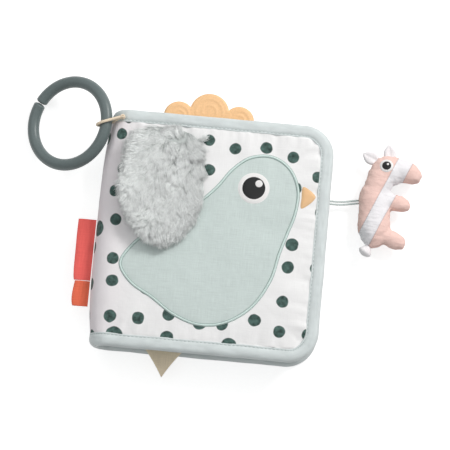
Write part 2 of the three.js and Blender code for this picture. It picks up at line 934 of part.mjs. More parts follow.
function addToy() {
  const part = (from, to, halfHeight, halfThick, shares, grow = 0) => {
    const start = toyPoint(from);
    const end = toyPoint(to);
    const along = new THREE.Vector3().subVectors(end, start).normalize();
    start.addScaledVector(along, -grow);
    end.addScaledVector(along, grow);
    return stuffed(
      runBetween(start, end, shares.length),
      halfHeight + grow,
      halfThick + grow,
      shares,
    );
  };
  const body = (grow) => {
    return part("rump", "chest", toyBodyHalfHeight, toyHalfThickness, bodyRadiusShares, grow);
  };
  const headThick = toyHalfThickness * headThickShare;
  const head = (grow) => {
    return part("headBack", "headFront", toyHeadHalfHeight, headThick, headShares, grow);
  };
  const muzzle = (grow) => {
    const thick = headThick * muzzleThickShare;
    return part("muzzleBack", "muzzleFront", toyMuzzleHalfHeight, thick, muzzleShares, grow);
  };
  addNode("toy_body", body(0), colours.toyPink);
  addNode("toy_head", largest(fitted(head(0), [body(toyCut)])), colours.toyPink);
  addNode(
    "toy_muzzle",
    largest(fitted(muzzle(0), [head(toyCut), body(toyCut)])),
    colours.toyWhite,
  );
  [
    ["toy_front_leg", "frontLegTop", "frontLegFoot"],
    ["toy_rear_leg", "rearLegTop", "rearLegFoot"],
  ].forEach(([name, from, to]) => {
    const leg = part(from, to, toyLegRadius, toyLegRadius, legShares);
    addNode(
      name,
      largest(fitted(leg, [body(toyCut), head(toyCut), muzzle(toyCut)])),
      colours.toyWhite,
    );
  });
  const tail = part("tailRoot", "tailTip", toyTailRadius, toyTailRadius, tailShares);
  addNode("toy_tail", largest(fitted(tail, [body(toyCut)])), colours.toyPink);
  [
    ["toy_upper_ear", "upperEarRoot", "upperEarTip"],
    ["toy_lower_ear", "lowerEarRoot", "lowerEarTip"],
  ].forEach(([name, from, to]) => {
    const ear = part(from, to, toyEarWidth / 2, toyEarThickness / 2, earShares);
    addNode(
      name,
      largest(fitted(ear, [head(toyCut), body(toyCut)])),
      colours.toyWhite,
    );
  });
  const eye = toyPoint("eye");
  const eyeLow = toyHalfThickness + headThick + clearance;
  addNode(
    "toy_eye",
    disc(eye.x, eye.y, toyEyeRadius, eyeLow, eyeLow + toyEyeHeight),
    colours.darkThread,
    0.5,
  );
}

addCover("back_cover", -1, colours.sageCloth);
addCover("front_cover", 1, colours.whiteCloth);
const backLeaf = addLeaf("back_leaf", -1, colours.whiteCloth, colours.pinkCloth);
const frontLeaf = addLeaf("front_leaf", 1, colours.pinkCloth, colours.whiteCloth);
addCoverArt();
addFlap();
addRing();
addLoop();
addTabs();
addTeether(frontLeaf);
addCornerTab(backLeaf);
addTether();
addToy();

// The book's frame moves so that the origin is the centre of the back cover's outer face.
book.position.set(-bookWidth / 2, -bookHeight / 2, 0);

export default group;
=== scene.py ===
import math

import bpy
import numpy as np
from mathutils import Matrix, Vector, noise
from mathutils.bvhtree import BVHTree
from mathutils.geometry import delaunay_2d_cdt


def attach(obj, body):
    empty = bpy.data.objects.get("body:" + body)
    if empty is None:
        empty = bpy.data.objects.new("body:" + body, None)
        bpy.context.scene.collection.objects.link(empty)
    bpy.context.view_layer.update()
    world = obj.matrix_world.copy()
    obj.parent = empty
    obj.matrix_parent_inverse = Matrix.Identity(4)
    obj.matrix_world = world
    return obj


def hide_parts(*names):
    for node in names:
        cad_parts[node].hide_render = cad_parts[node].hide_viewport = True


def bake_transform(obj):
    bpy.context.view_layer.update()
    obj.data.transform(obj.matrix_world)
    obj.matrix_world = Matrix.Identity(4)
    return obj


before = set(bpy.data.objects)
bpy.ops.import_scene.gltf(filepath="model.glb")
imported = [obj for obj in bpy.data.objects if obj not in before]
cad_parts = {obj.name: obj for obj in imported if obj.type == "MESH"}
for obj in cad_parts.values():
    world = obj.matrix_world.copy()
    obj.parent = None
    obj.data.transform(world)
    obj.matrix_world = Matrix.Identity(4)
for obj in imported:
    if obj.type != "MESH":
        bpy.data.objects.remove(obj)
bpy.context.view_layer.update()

MM = 0.001
UV_MM = 0.01  # one millimetre of cloth in texture units
WIDTH, HEIGHT, THICK = 156.0, 162.0, 32.0
HALF = THICK / 2
CORNER = 21.0
PULL, PULL_POWER = 5.0, 4
COVER = 5.0
TAPE = 7.0
ARC = HALF * math.pi / 2  # cloth path round one half of the spine
FLAT = ARC - HALF  # path length minus x on the flat part
LEAF_INSET, LEAF_START = 3.0, 15.0
LEAVES = {"back": (7.2, 15.4), "front": (16.6, 24.8)}
Z = Vector((0, 0, 1))


def row(x, y, z):
    return ((x - WIDTH / 2) * MM, (y - HEIGHT / 2) * MM, z * MM)


def placed(name, data):
    """A new object in the scene."""
    thing = bpy.data.objects.new(name, data)
    bpy.context.collection.objects.link(thing)
    return thing


# Camera, at the photograph's angle
DISTANCE = 1.4
TILT = math.radians(10)
TURN = math.radians(5.3)
PIXEL_MM = 0.672
PIXELS = 450
SENSOR = 36
TARGET = (87.0, 88.3, 32)


def add_camera():
    up_flat = Vector((-math.sin(TURN), math.cos(TURN), 0))
    right = Vector((math.cos(TURN), math.sin(TURN), 0))
    forward = up_flat * math.sin(TILT) - Z * math.cos(TILT)
    data = bpy.data.cameras.new("camera")
    data.sensor_width = SENSOR
    data.lens = SENSOR * DISTANCE / (PIXELS * PIXEL_MM * MM)
    camera = placed("camera", data)
    pose = Matrix((right, right.cross(forward), -forward)).transposed().to_4x4()
    pose.translation = Vector(row(*TARGET)) - forward * DISTANCE
    camera.matrix_world = pose
    bpy.context.scene.camera = camera
    return right, up_flat


RIGHT, UP = add_camera()


# Materials
def linear(colour):
    return tuple((c / 255 / 12.92 if c <= 10 else ((c / 255 + 0.055) / 1.055) ** 2.4) for c in colour)


class Look:
    """A material with short ways to add texture nodes."""

    def __init__(self, name, colour, roughness, sheen=0.0, specular=0.3):
        self.material = bpy.data.materials.new(name)
        self.material.use_nodes = True
        self.tree = self.material.node_tree
        self.shader = self.tree.nodes["Principled BSDF"]
        self.shader.inputs["Base Color"].default_value = (*linear(colour), 1)
        self.shader.inputs["Roughness"].default_value = roughness
        self.shader.inputs["Sheen Weight"].default_value = sheen
        self.shader.inputs["Sheen Roughness"].default_value = 0.5
        self.shader.inputs["Specular IOR Level"].default_value = specular
        self.normal = None

    def node(self, kind, output, inputs, **values):
        """Adds a node, links or sets its inputs by name or number, and gives one of its outputs."""
        made = self.tree.nodes.new(kind)
        for key, value in values.items():
            setattr(made, key, value)
        for key, value in inputs.items():
            if isinstance(value, bpy.types.NodeSocket):
                self.link(value, made.inputs[key])
            else:
                made.inputs[key].default_value = value
        return made.outputs[output]

    def link(self, source, target):
        self.tree.links.new(source, target)

    def coords(self, scale=(1, 1, 1), kind="UV", angle=0.0):
        source = self.node("ShaderNodeTexCoord", kind, {})
        inputs = {"Vector": source, "Scale": scale, "Rotation": (0, 0, angle)}
        return self.node("ShaderNodeMapping", "Vector", inputs)

    def noise(self, vector, scale, detail=2.0, output="Fac"):
        inputs = {"Vector": vector, "Scale": scale, "Detail": detail}
        return self.node("ShaderNodeTexNoise", output, inputs)

    def wave(self, vector, period, direction="X", distortion=0.0):
        scale = 2 * math.pi / 20 / period
        inputs = {"Vector": vector, "Scale": scale, "Distortion": distortion, "Detail": 1}
        return self.node("ShaderNodeTexWave", "Fac", inputs, bands_direction=direction)

    def math(self, operation, *values):
        return self.node("ShaderNodeMath", 0, dict(enumerate(values)), operation=operation)

    def vector(self, operation, inputs, output="Vector"):
        return self.node("ShaderNodeVectorMath", output, inputs, operation=operation)

    def part(self, vector, axis):
        return self.node("ShaderNodeSeparateXYZ", axis, {0: vector})

    def remap(self, value, low, high, to_low=0.0, to_high=1.0):
        inputs = {"Value": value, "From Min": low, "From Max": high, "To Min": to_low, "To Max": to_high}
        return self.node("ShaderNodeMapRange", "Result", inputs)

    def tint(self, colours, factor):
        """Mixes two colours, each a triple or a socket, by a factor."""
        a, b = ((*linear(c), 1) if isinstance(c, tuple) else c for c in colours)
        return self.node("ShaderNodeMix", 2, {"Factor": factor, 6: a, 7: b}, data_type="RGBA")

    def vary(self, colour, dark, bright, factor):
        """The base colour between two shades of one colour."""
        self.colour(self.tint((shade(colour, dark), shade(colour, bright)), factor))

    def colour(self, socket):
        self.link(socket, self.shader.inputs["Base Color"])

    def bump(self, height, strength, distance):
        inputs = {"Height": height, "Strength": strength, "Distance": distance}
        if self.normal is not None:
            inputs["Normal"] = self.normal
        self.normal = self.node("ShaderNodeBump", "Normal", inputs)
        self.link(self.normal, self.shader.inputs["Normal"])


def shade(colour, factor):
    return tuple(min(255, c * factor) for c in colour)


def woven(name, colour, pitch=0.5, slub=0.035):
    """Plain woven cotton: crossed threads, uneven yarn and a soft surface."""
    look = Look(name, colour, 0.92, sheen=0.12, specular=0.2)
    flat = look.coords()
    across = look.wave(flat, pitch * UV_MM, "X", 0.6)
    along = look.wave(flat, pitch * UV_MM, "Y", 0.6)
    weave = look.math("MAXIMUM", across, along)
    look.bump(weave, 0.35, 0.00015)
    look.bump(look.noise(flat, 14, 3), 0.25, 0.0012)
    yarn_a = look.noise(look.coords((9, 260, 1)), 1.0, 3)
    yarn_b = look.noise(look.coords((260, 9, 1)), 1.0, 3)
    yarn = look.math("ADD", look.math("MULTIPLY", yarn_a, 0.5), look.math("MULTIPLY", yarn_b, 0.5))
    slubs = look.remap(yarn, 0.36, 0.64)
    base = look.tint((shade(colour, 1 - slub), shade(colour, 1 + slub)), slubs)
    return look, base


def plain_cloth(name, colour, **options):
    look, base = woven(name, colour, **options)
    look.colour(base)
    return look.material


def dotted_cloth(name, colour, dot_colour, spacing):
    """White cotton with a print of dark uneven dots, a little pink towards the spine."""
    look, base = woven(name, colour, slub=0.012)
    flat = look.coords()
    base = look.tint(((236, 230, 233), base), look.remap(look.part(flat, 0), 0.1, 0.4))
    wobble = look.vector("SCALE", {0: look.noise(flat, 17, 1, "Color"), "Scale": 0.011})
    place = look.vector("ADD", {0: flat, 1: wobble})
    cell = {"Vector": place, "Scale": 1 / (spacing * UV_MM), "Randomness": 0.52}
    distance = look.node("ShaderNodeTexVoronoi", "Distance", cell, voronoi_dimensions="2D")
    chance = look.node("ShaderNodeSeparateColor", 0, {0: distance.node.outputs["Color"]})
    radius = look.remap(look.math("POWER", chance, 4.0), 0, 1, 0.205, 0.31)
    ink = look.remap(look.math("SUBTRACT", distance, radius), 0.012, -0.012)
    mottle = look.remap(look.noise(flat, 34, 4), 0.32, 0.68)
    print_colour = look.tint((shade(dot_colour, 0.76), shade(dot_colour, 1.26)), mottle)
    look.colour(look.tint((base, print_colour), ink))
    return look.material


def satin(name, colour, pitch=0.38, direction="X", sheen=0.25):
    """Dense parallel embroidery threads with a soft gloss and painted shade in the grooves between them."""
    look = Look(name, colour, 0.5, sheen=sheen, specular=0.4)
    flat = look.coords()
    threads = look.wave(flat, pitch * UV_MM, direction, 0.8)
    look.bump(threads, 0.5, 0.0002)
    # Painted shade: the colour darkens in the grooves between threads, following the same waves as the bump.
    look.vary(colour, 0.93, 1.03, threads)
    return look.material


def tape_cloth(name, colour):
    """Bias tape: a diagonal weave, a little gloss and painted shade in its folds."""
    look = Look(name, colour, 0.55, sheen=0.2, specular=0.45)
    slanted = look.coords(angle=math.radians(45))
    twill = look.wave(slanted, 0.45 * UV_MM, "X", 0.5)
    look.bump(twill, 0.3, 0.00015)
    look.bump(look.noise(look.coords((14, 30, 1)), 1.0, 2), 0.2, 0.0006)
    # Painted fold shade: a soft noise makes the tape's colour a little darker in some patches and a little
    # lighter in others.
    fold = look.remap(look.noise(look.coords((8, 40, 1)), 1.0, 2), 0.35, 0.65)
    look.vary(colour, 0.975, 1.02, fold)
    return look.material


def moulded(name, colour, roughness):
    look = Look(name, colour, roughness, specular=0.5)
    place = look.coords(kind="Object")
    grain = look.noise(place, 900, 2)
    look.bump(grain, 0.08, 0.0002)
    look.bump(look.noise(place, 60, 2), 0.12, 0.0008)
    look.vary(colour, 0.98, 1.02, look.remap(grain, 0.35, 0.65))
    return look.material


def fur_look(name, root, tip):
    """Pile fibres: u is each fibre's tone and v runs from root to tip; the darker root colour is painted
    shade deep in the pile.
    """
    look = Look(name, tip, 0.62, sheen=0.4, specular=0.2)
    flat = look.coords()
    # Painted shade: each fibre darkens towards its root, deep in the pile.
    mixed = look.tint((root, tip), look.remap(look.part(flat, 1), 0.05, 0.55))
    tone = look.remap(look.part(flat, 0), 0, 1, 0.88, 1.08)
    look.colour(look.vector("SCALE", {0: mixed, "Scale": tone}))
    return look.material


def cord_look(name, colour, twist):
    look = Look(name, colour, 0.8, sheen=0.2, specular=0.25)
    flat = look.coords(angle=math.radians(35))
    plies = look.wave(flat, twist * UV_MM, "X")
    look.bump(plies, 0.4, 0.0003)
    # Painted shade: the colour darkens in the grooves between the plies, following the same waves as the
    # bump.
    look.vary(colour, 0.9, 1.05, plies)
    return look.material


SAGE = (206, 218, 215)
WHITE = (242, 242, 242)
TAPE_COLOUR = (212, 220, 220)
mat = {
    "dots": dotted_cloth("dotted_cotton", WHITE, (70, 92, 87), 19.5),
    "sage": plain_cloth("sage_cotton", SAGE),
    "white": plain_cloth("white_cotton", WHITE, slub=0.012),
    "lining": plain_cloth("lining_cotton", (228, 224, 220)),
    "pink": plain_cloth("pink_cotton", (222, 204, 202)),
    "tape": tape_cloth("bias_tape", TAPE_COLOUR),
    "leaf_tape": tape_cloth("leaf_tape", (168, 182, 180)),
    "stitch": satin("seam_thread", (184, 197, 195), 0.5),
    "mint": satin("mint_satin", (222, 241, 236)),
    "mint_seam": satin("mint_seam_thread", (160, 184, 178)),
    "peach": satin("peach_satin", (246, 201, 150), direction="Y"),
    "eye_white": satin("white_satin", (253, 250, 248), direction="Y"),
    "eye_dark": satin("dark_satin", (26, 28, 30), direction="Y", sheen=0.05),
    "wadding": plain_cloth("wadding", (246, 245, 240)),
    "film": moulded("crinkle_film", (223, 230, 234), 0.35),
    # The plush fibre's darker root colour is painted shade deep in the pile.
    "fur": fur_look("plush_fibre", (182, 188, 186), (250, 253, 252)),
    "plush": plain_cloth("plush_ground", (190, 196, 194)),
    "ring": moulded("ring_plastic", (101, 113, 113), 0.4),
    "elastic": cord_look("peach_elastic", (255, 230, 204), 0.9),
    "red": plain_cloth("red_ribbon", (255, 110, 104), pitch=0.8, slub=0.05),
    "orange": plain_cloth("orange_ribbon", (244, 118, 88), pitch=0.8, slub=0.05),
    "silicone": moulded("peach_silicone", (246, 200, 148), 0.55),
    "cream": plain_cloth("cream_cotton", (244, 228, 200)),
    "tether": cord_look("tether_cord", (220, 230, 228), 1.2),
}


# Pieces
def make(name, points, faces, material, body=None, slot=None, uvs=None, node=None):
    """A smooth piece; body and node say what it rides and what it replaces, and slot is not used."""
    mesh = bpy.data.meshes.new(name)
    mesh.from_pydata([row(x, y, max(z, 0.0)) for x, y, z in points], [], faces)
    if uvs is not None:
        layer = mesh.uv_layers.new(name="flat")
        corners = np.zeros(len(mesh.loops), dtype=np.int32)
        mesh.loops.foreach_get("vertex_index", corners)
        layer.data.foreach_set("uv", np.asarray(uvs, dtype=np.float32)[corners].ravel())
    mesh.polygons.foreach_set("use_smooth", [True] * len(mesh.polygons))
    mesh.materials.append(mat[material])
    piece = placed(name, mesh)
    if body:
        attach(piece, body)
    if node:
        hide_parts(node)
    return piece


def flat_uvs(places):
    return [(x * UV_MM, y * UV_MM) for x, y in places]


def grid_faces(rows, columns, wrap=False):
    """Quads over a grid of vertices; wrap joins each row's last vertex to its first."""
    faces = []
    for i in range(rows - 1):
        for j in range(columns if wrap else columns - 1):
            k = (j + 1) % columns
            faces.append((i * columns + j, i * columns + k, (i + 1) * columns + k, (i + 1) * columns + j))
    return faces


def capped_faces(rows, sides):
    """Faces of a closed round body of so many rows."""
    total = rows * sides
    caps = [tuple(range(sides)), tuple(range(total - 1, total - sides - 1, -1))]
    return grid_faces(rows, sides, True) + caps


def perlin(x, y, seed):
    return noise.noise(Vector((x, y, seed)))


def smooth_step(value):
    value = min(max(value, 0.0), 1.0)
    return value * value * (3 - 2 * value)


def bell(distance, width):
    """1 in the middle, falling off over the width."""
    return math.exp(-((distance / width) ** 2))


def frames_along(points):
    """Unit tangent, side and up at each point of a path, turning as little as it can."""
    tangents = []
    for i in range(len(points)):
        before, after = points[max(i - 1, 0)], points[min(i + 1, len(points) - 1)]
        tangents.append((after - before).normalized())
    side = tangents[0].cross(Z)
    if side.length < 1e-3:
        side = tangents[0].cross(Vector((0, 1, 0)))
    result = []
    for tangent in tangents:
        side = (side - tangent * side.dot(tangent)).normalized()
        result.append((tangent, side, tangent.cross(side)))
    return result


def tube(points, radii, sides, ply=lambda angle, length: 1.0):
    """Points, faces and texture places of a round tube; ply shapes its section."""
    verts, uvs, length = [], [], 0.0
    for i, (point, (_, side, up)) in enumerate(zip(points, frames_along(points))):
        length += (point - points[i - 1]).length if i else 0
        for k in range(sides + 1):
            angle = 2 * math.pi * k / sides
            radius = radii[i] * ply(angle, length)
            verts.append(point + (side * math.cos(angle) + up * math.sin(angle)) * radius)
            uvs.append((length * UV_MM, angle * radii[i] * UV_MM))
    faces = grid_faces(len(points), sides + 1)
    faces += [tuple(range(sides, -1, -1)), tuple(range(len(verts) - sides - 1, len(verts)))]
    return verts, faces, uvs


OPEN_STEPS, CLOSED_STEPS = 24, 16  # points of a curve between two given ones


def on_curve(p0, p1, p2, p3, t):
    """A smooth curve's point between p1 and p2."""
    start = 2 * p1 + (p2 - p0) * t + (2 * p0 - 5 * p1 + 4 * p2 - p3) * t * t
    return 0.5 * (start + (3 * p1 - p0 - 3 * p2 + p3) * t ** 3)


def spline(points, count):
    """Evenly spaced points of a smooth curve through the given ones."""
    points = [Vector(p) for p in points]
    fine = []
    for i in range(len(points) - 1):
        p1, p2 = points[i], points[i + 1]
        p0 = points[i - 1] if i else p1 * 2 - p2
        p3 = points[i + 2] if i + 2 < len(points) else p2 * 2 - p1
        fine += [on_curve(p0, p1, p2, p3, k / OPEN_STEPS) for k in range(OPEN_STEPS)]
    fine.append(points[-1])
    return resampled(fine, count)


def resampled(fine, count):
    lengths = [0.0]
    for a, b in zip(fine, fine[1:]):
        lengths.append(lengths[-1] + (b - a).length)
    result, i = [], 0
    for k in range(count):
        wanted = lengths[-1] * k / (count - 1)
        while i + 2 < len(fine) and lengths[i + 1] < wanted:
            i += 1
        span = max(lengths[i + 1] - lengths[i], 1e-9)
        result.append(fine[i].lerp(fine[i + 1], min((wanted - lengths[i]) / span, 1)))
    return result


# Covers and leaves share one description: a page with three free sides and a corner radius
def pull_at(y):
    return PULL * min(abs(2 * y / HEIGHT - 1), 1) ** PULL_POWER


def cover_point(side):
    def point(p, y, depth):
        if p < ARC:
            angle = p / HALF
            x = HALF - (HALF - pull_at(y) - depth) * math.cos(angle)
            return Vector((x, y, HALF + side * (HALF - depth) * math.sin(angle)))
        return Vector((p - FLAT, y, HALF + side * (HALF - depth)))

    return point


def leaf_point(high):
    return lambda p, y, depth: Vector((p, y, high - depth))


class Page:
    def __init__(self, point, start, shift, inset, thick, seed, tape_scale=1.0):
        self.point = point
        self.start = start
        self.corner_p = WIDTH - CORNER + shift
        self.inset = inset
        self.thick = thick
        self.seed = seed
        self.shift = shift
        self.tape_scale = tape_scale
        radius = CORNER - inset
        self.runs = (self.corner_p - start, radius * math.pi / 2, HEIGHT - 2 * CORNER)
        self.length = 2 * self.runs[0] + 2 * self.runs[1] + self.runs[2]

    def edge(self, s):
        """Place and inward normal of the free edge at length s."""
        straight, arc, fore = self.runs
        radius = CORNER - self.inset
        if s > self.length / 2:
            p, y, normal_p, normal_y = self.edge(self.length - s)
            return p, HEIGHT - y, normal_p, -normal_y
        if s < straight:
            return self.start + s, self.inset, 0.0, 1.0
        if s < straight + arc:
            angle = (s - straight) / radius
            sine, cosine = math.sin(angle), math.cos(angle)
            return self.corner_p + radius * sine, CORNER - radius * cosine, -sine, cosine
        return self.corner_p + radius, CORNER + s - straight - arc, -1.0, 0.0

    def at(self, s, inset, depth):
        p, y, normal_p, normal_y = self.edge(s)
        return self.point(p + normal_p * inset, y + normal_y * inset, depth)


# Tape section: distance in from the edge, height above the page's face, and how much it puckers
TAPE_SECTION = [
    (7.35, -0.7, 0.0), (7.1, 0.1, 0.1), (6.85, 0.4, 0.2), (6.5, 0.42, 0.2), (6.15, 0.05, 0.2),
    (5.8, 0.4, 0.3), (5.2, 0.72, 0.5), (4.2, 0.9, 0.6), (3.2, 0.92, 0.6), (2.2, 0.8, 0.6),
    (1.4, 0.45, 0.5), (0.7, -0.2, 0.4), (0.3, -0.9, 0.3), (0.1, -1.7, 0.2),
]
STITCH_INSET = 6.15
STITCH_PITCH = 2.7
STITCH_SECTION = ((-1.0, -0.15), (-0.55, 0.16), (0.0, 0.24), (0.55, 0.16), (1.0, -0.15))
STITCH_RADII = (0.16, 0.24, 0.26, 0.24, 0.16)
COVER_TAPE = 1.25  # the covers' binding is wider than the leaves'


def wander_at(s, page):
    """How far the seam strays sideways at length s of the edge."""
    return 0.35 * perlin(s / 16, 1.7, page.seed)


def add_tape(name, page, step=1.1):
    """Edge binding: a folded strip swept round the page's free sides, puckered by its seam."""
    stations = int(page.length / step)
    middle = (0.0, -page.thick / 2, 0.0)
    mirrored = [(t, -page.thick - h, -w) for t, h, w in reversed(TAPE_SECTION)]
    section = TAPE_SECTION + [middle] + mirrored
    verts, uvs = [], []
    for i in range(stations + 1):
        s = page.length * i / stations
        wander = wander_at(s, page)
        across = 0.0
        groove = 3.6 + 1.5 * perlin(s / 40, 4.1, page.seed)
        depth = 0.5 * smooth_step(0.5 + 1.6 * perlin(s / 26, 7.7, page.seed))
        for k, (t, h, weight) in enumerate(section):
            ripple = perlin(s / 2.6, t / 5 + (5 if weight < 0 else 0), page.seed) * 0.3
            ripple += perlin(s / 11, t / 6, page.seed + 5) * 0.45
            ripple -= depth * bell(t - groove, 0.7)
            inset = (t + wander * (1 if t > 1 else 0.6)) * page.tape_scale
            verts.append(page.at(s, inset, -(h + ripple * weight)))
            if k:
                across += math.hypot(t - section[k - 1][0], h - section[k - 1][1])
            uvs.append((s * UV_MM, across * UV_MM))
    material = "tape" if page.shift else "leaf_tape"
    return make(name, verts, grid_faces(stations + 1, len(section)), material, uvs=uvs)


def add_stitches(name, page):
    """Short lockstitches in the groove of the tape."""
    verts, faces, uvs = [], [], []
    for i in range(int(page.length / STITCH_PITCH)):
        s = (i + 0.5) * STITCH_PITCH
        wander = wander_at(s, page)
        path = [
            page.at(s + d, (STITCH_INSET + wander) * page.tape_scale, 0.02 - h)
            for d, h in STITCH_SECTION
        ]
        v, f, u = tube(path, STITCH_RADII, 6)
        base = len(verts)
        verts += v
        uvs += u
        faces += [tuple(base + j for j in face) for face in f]
    return make(name, verts, faces, "stitch", uvs=uvs)


def edge_distance(x, y, inset):
    """How far inside a page's cloth a place lies."""
    over_x = x - (WIDTH - CORNER)
    over_y = max(CORNER - y, y - (HEIGHT - CORNER))
    if over_x > 0 and over_y > 0:
        return CORNER - inset - math.hypot(over_x, over_y)
    return min(WIDTH - x, y, HEIGHT - y) - inset


def relief(x, y, seed, crown=1.2, depth_shift=0.0):
    """Height of puffed cloth over the page's face: crown, soft waves, and puckers at the seam."""
    d = max(edge_distance(x, y, TAPE * COVER_TAPE - 0.4 + depth_shift), 0.0)
    along = y if WIDTH - x < min(y, HEIGHT - y) else x
    pucker = perlin(along / 4.4, d / 18, seed) * 1.1 * math.exp(-d / 7)
    pucker += perlin(along / 10, d / 30, seed + 2) * 1.9 * math.exp(-d / 16)
    broad = 1.3 * perlin(x / 34, y / 30, seed + 3) + 0.4 * perlin(x / 13, y / 16, seed + 7)
    return crown * (1 - math.exp(-d / 8)) + broad * min(d / 8, 1) + pucker * min(d / 1.2, 1)


def cloth_rows(page, inset, step):
    """(y, end of the row) over the page, closer together where the corners curve."""
    radius = CORNER - inset
    rows, turns = [], 15
    for k in range(turns + 1):
        angle = math.pi / 2 * k / turns
        rows.append((CORNER - radius * math.cos(angle), page.corner_p + radius * math.sin(angle)))
    count = int((HEIGHT - 2 * CORNER) / step)
    straight = HEIGHT - 2 * CORNER
    rows += [(CORNER + straight * k / count, page.corner_p + radius) for k in range(1, count)]
    rows += [(HEIGHT - y, end) for y, end in reversed(rows[: turns + 1])]
    return rows


def level(x, y, p):
    return 0.0


def crinkle(x, y, p):
    return 0.3 * perlin(x / 6, y / 6, 3)


def add_panel(name, page, face_depth, lift, material, step=1.2):
    """A cloth panel inside the tape; lift gives its height outwards from face_depth."""
    rows = cloth_rows(page, page.inset + TAPE * page.tape_scale - 0.35, step)
    columns = int((page.corner_p - page.start) / step)
    verts, uvs = [], []
    for y, end in rows:
        for j in range(columns + 1):
            p = page.start + (end - page.start) * j / columns
            verts.append(page.point(p, y, face_depth - lift(p - page.shift, y, p)))
            uvs.append((p * UV_MM, y * UV_MM))
    return make(name, verts, grid_faces(len(rows), columns + 1), material, uvs=uvs)


def sewn(body, parts):
    """Hides the replaced node of each of a page's parts, given as piece, slot and node; piece and slot are
    not used.
    """
    for piece, slot, node in parts:
        if node:
            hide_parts(body + "_" + node)


FRONT_SEED, BACK_SEED = 11.0, 47.0


def spine_calm(p):
    """Little relief near the middle of the spine, where both covers meet round the tabs when opened."""
    return smooth_step((p - 3) / 12)


def front_lift(x, y, p):
    return relief(x, y, FRONT_SEED) * spine_calm(p) * (0.55 if p < ARC else min(0.55 + (p - ARC) / 30, 1))


def front_height(x, y):
    """Top of the front cover's cloth."""
    return THICK + front_lift(x, y, x + FLAT)


def back_lift(x, y, p):
    if p > ARC:
        return -0.25 + 0.2 * perlin(x / 20, y / 20, BACK_SEED)
    return (0.3 + relief(x, y, BACK_SEED, 0.5)) * spine_calm(p) * smooth_step((ARC - p) / 6)


def add_cover(prefix, side, material, slot, lift):
    body = prefix + "_cover"
    seed = FRONT_SEED if side > 0 else BACK_SEED
    page = Page(cover_point(side), 0.0, FLAT, 0.0, COVER, seed, COVER_TAPE)
    cloth = add_panel(body + "_cloth", page, 0.0, lift, material)
    sag = lambda x, y, p: -0.6 * relief(x, y, seed + 20, 0.9) * smooth_step(p / 20)
    parts = [
        (cloth, slot, "outer_cloth"),
        (add_panel(body + "_lining_cloth", page, COVER, sag, "lining", 1.6), "lining_cloth", "lining"),
        (add_panel(body + "_wadding", page, 1.6, level, "wadding", 3.0), "wadding", "padding"),
        (add_panel(body + "_film", page, 3.2, crinkle, "film", 3.0), "crinkle_film", "crinkle_film"),
        (add_tape(body + "_tape", page), "binding_tape", "binding"),
        (add_stitches(body + "_tape_stitches", page), "binding_tape", None),
    ]
    for piece, _, _ in parts:
        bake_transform(piece)
    sewn(body, parts)


add_cover("front", 1, "dots", "white_cloth", front_lift)
add_cover("back", -1, "sage", "sage_cloth", back_lift)


TONGUE = ((6.4, 0.4), (8.5, 0.5), (11, 0.9), (13.5, 1.6), (15.4, 2.4), (17.5, 2.9))  # x and height
TONGUE_MARGIN, TONGUE_FLARE = 22, 4


def add_tongue(name, inner, sign, seed):
    """The strip that sews a leaf to the spine, wider at its root."""
    verts, uvs, count = [], [], 24
    for i in range(count + 1):
        y = TONGUE_MARGIN + (HEIGHT - 2 * TONGUE_MARGIN) * i / count
        for j, (x, z) in enumerate(TONGUE):
            flare = (TONGUE_FLARE - TONGUE_FLARE * j / (len(TONGUE) - 1)) * (1 - 2 * i / count)
            verts.append((x, y + flare, inner + sign * (z + 0.15 * perlin(y / 9, x, seed))))
            uvs.append((x * UV_MM, y * UV_MM))
    return make(name, verts, grid_faces(count + 1, len(TONGUE)), "leaf_tape", uvs=uvs)


def add_leaf(prefix, lower, upper):
    low, high = LEAVES[prefix]
    body = prefix + "_leaf"
    seed = 70.0 + high
    sign = 1 if prefix == "front" else -1
    page = Page(leaf_point(high), LEAF_START, 0.0, LEAF_INSET, high - low, seed)
    puff = lambda way: lambda x, y, p: way * 0.35 * relief(x, y, seed + way, 0.9, LEAF_INSET)
    top = add_panel(body + "_upper_cloth", page, 0.0, puff(1), upper, 2.0)
    bottom = add_panel(body + "_lower_cloth", page, high - low, puff(-1), lower, 2.0)
    pad = add_panel(body + "_wadding", page, (high - low) / 2, level, "wadding", 8.0)
    film = add_panel(body + "_film", page, 2.0, crinkle, "film", 4.0)
    tape = add_tape(body + "_tape", page, 1.4)
    stitches = add_stitches(body + "_tape_stitches", page)
    tongue = add_tongue(body + "_tongue_cloth", low if sign > 0 else high, sign, seed)
    for piece in (top, bottom, pad, film, tape, tongue, stitches):
        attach(piece, body)
    sewn(body, [
        (top, upper + "_cloth", "upper_panel"), (bottom, lower + "_cloth", "lower_panel"),
        (pad, "wadding", "padding"), (film, "crinkle_film", "crinkle_film"),
        (tape, "binding_tape", "binding"), (tongue, "binding_tape", "tongue"),
        (stitches, "binding_tape", None),
    ])
    return (low + high) / 2


BACK_MIDDLE = add_leaf("back", "white", "pink")
FRONT_MIDDLE = add_leaf("front", "pink", "white")


# Flat shapes laid on the cover
def closed_spline(points, count):
    points = [Vector((x, y, 0)) for x, y in points]
    fine = []
    total = len(points)
    for i in range(total):
        near = [points[(i + k - 1) % total] for k in range(4)]
        fine += [on_curve(*near, k / CLOSED_STEPS) for k in range(CLOSED_STEPS)]
    fine.append(fine[0].copy())
    return [(p.x, p.y) for p in resampled(fine, count + 1)[:-1]]


def beside(outline, i, reach):
    """The place at a distance outwards from an outline's point."""
    (x0, y0), (x1, y1) = outline[i - 1], outline[(i + 1) % len(outline)]
    length = math.hypot(x1 - x0, y1 - y0) or 1.0
    return outline[i][0] + (y1 - y0) / length * reach, outline[i][1] - (x1 - x0) / length * reach


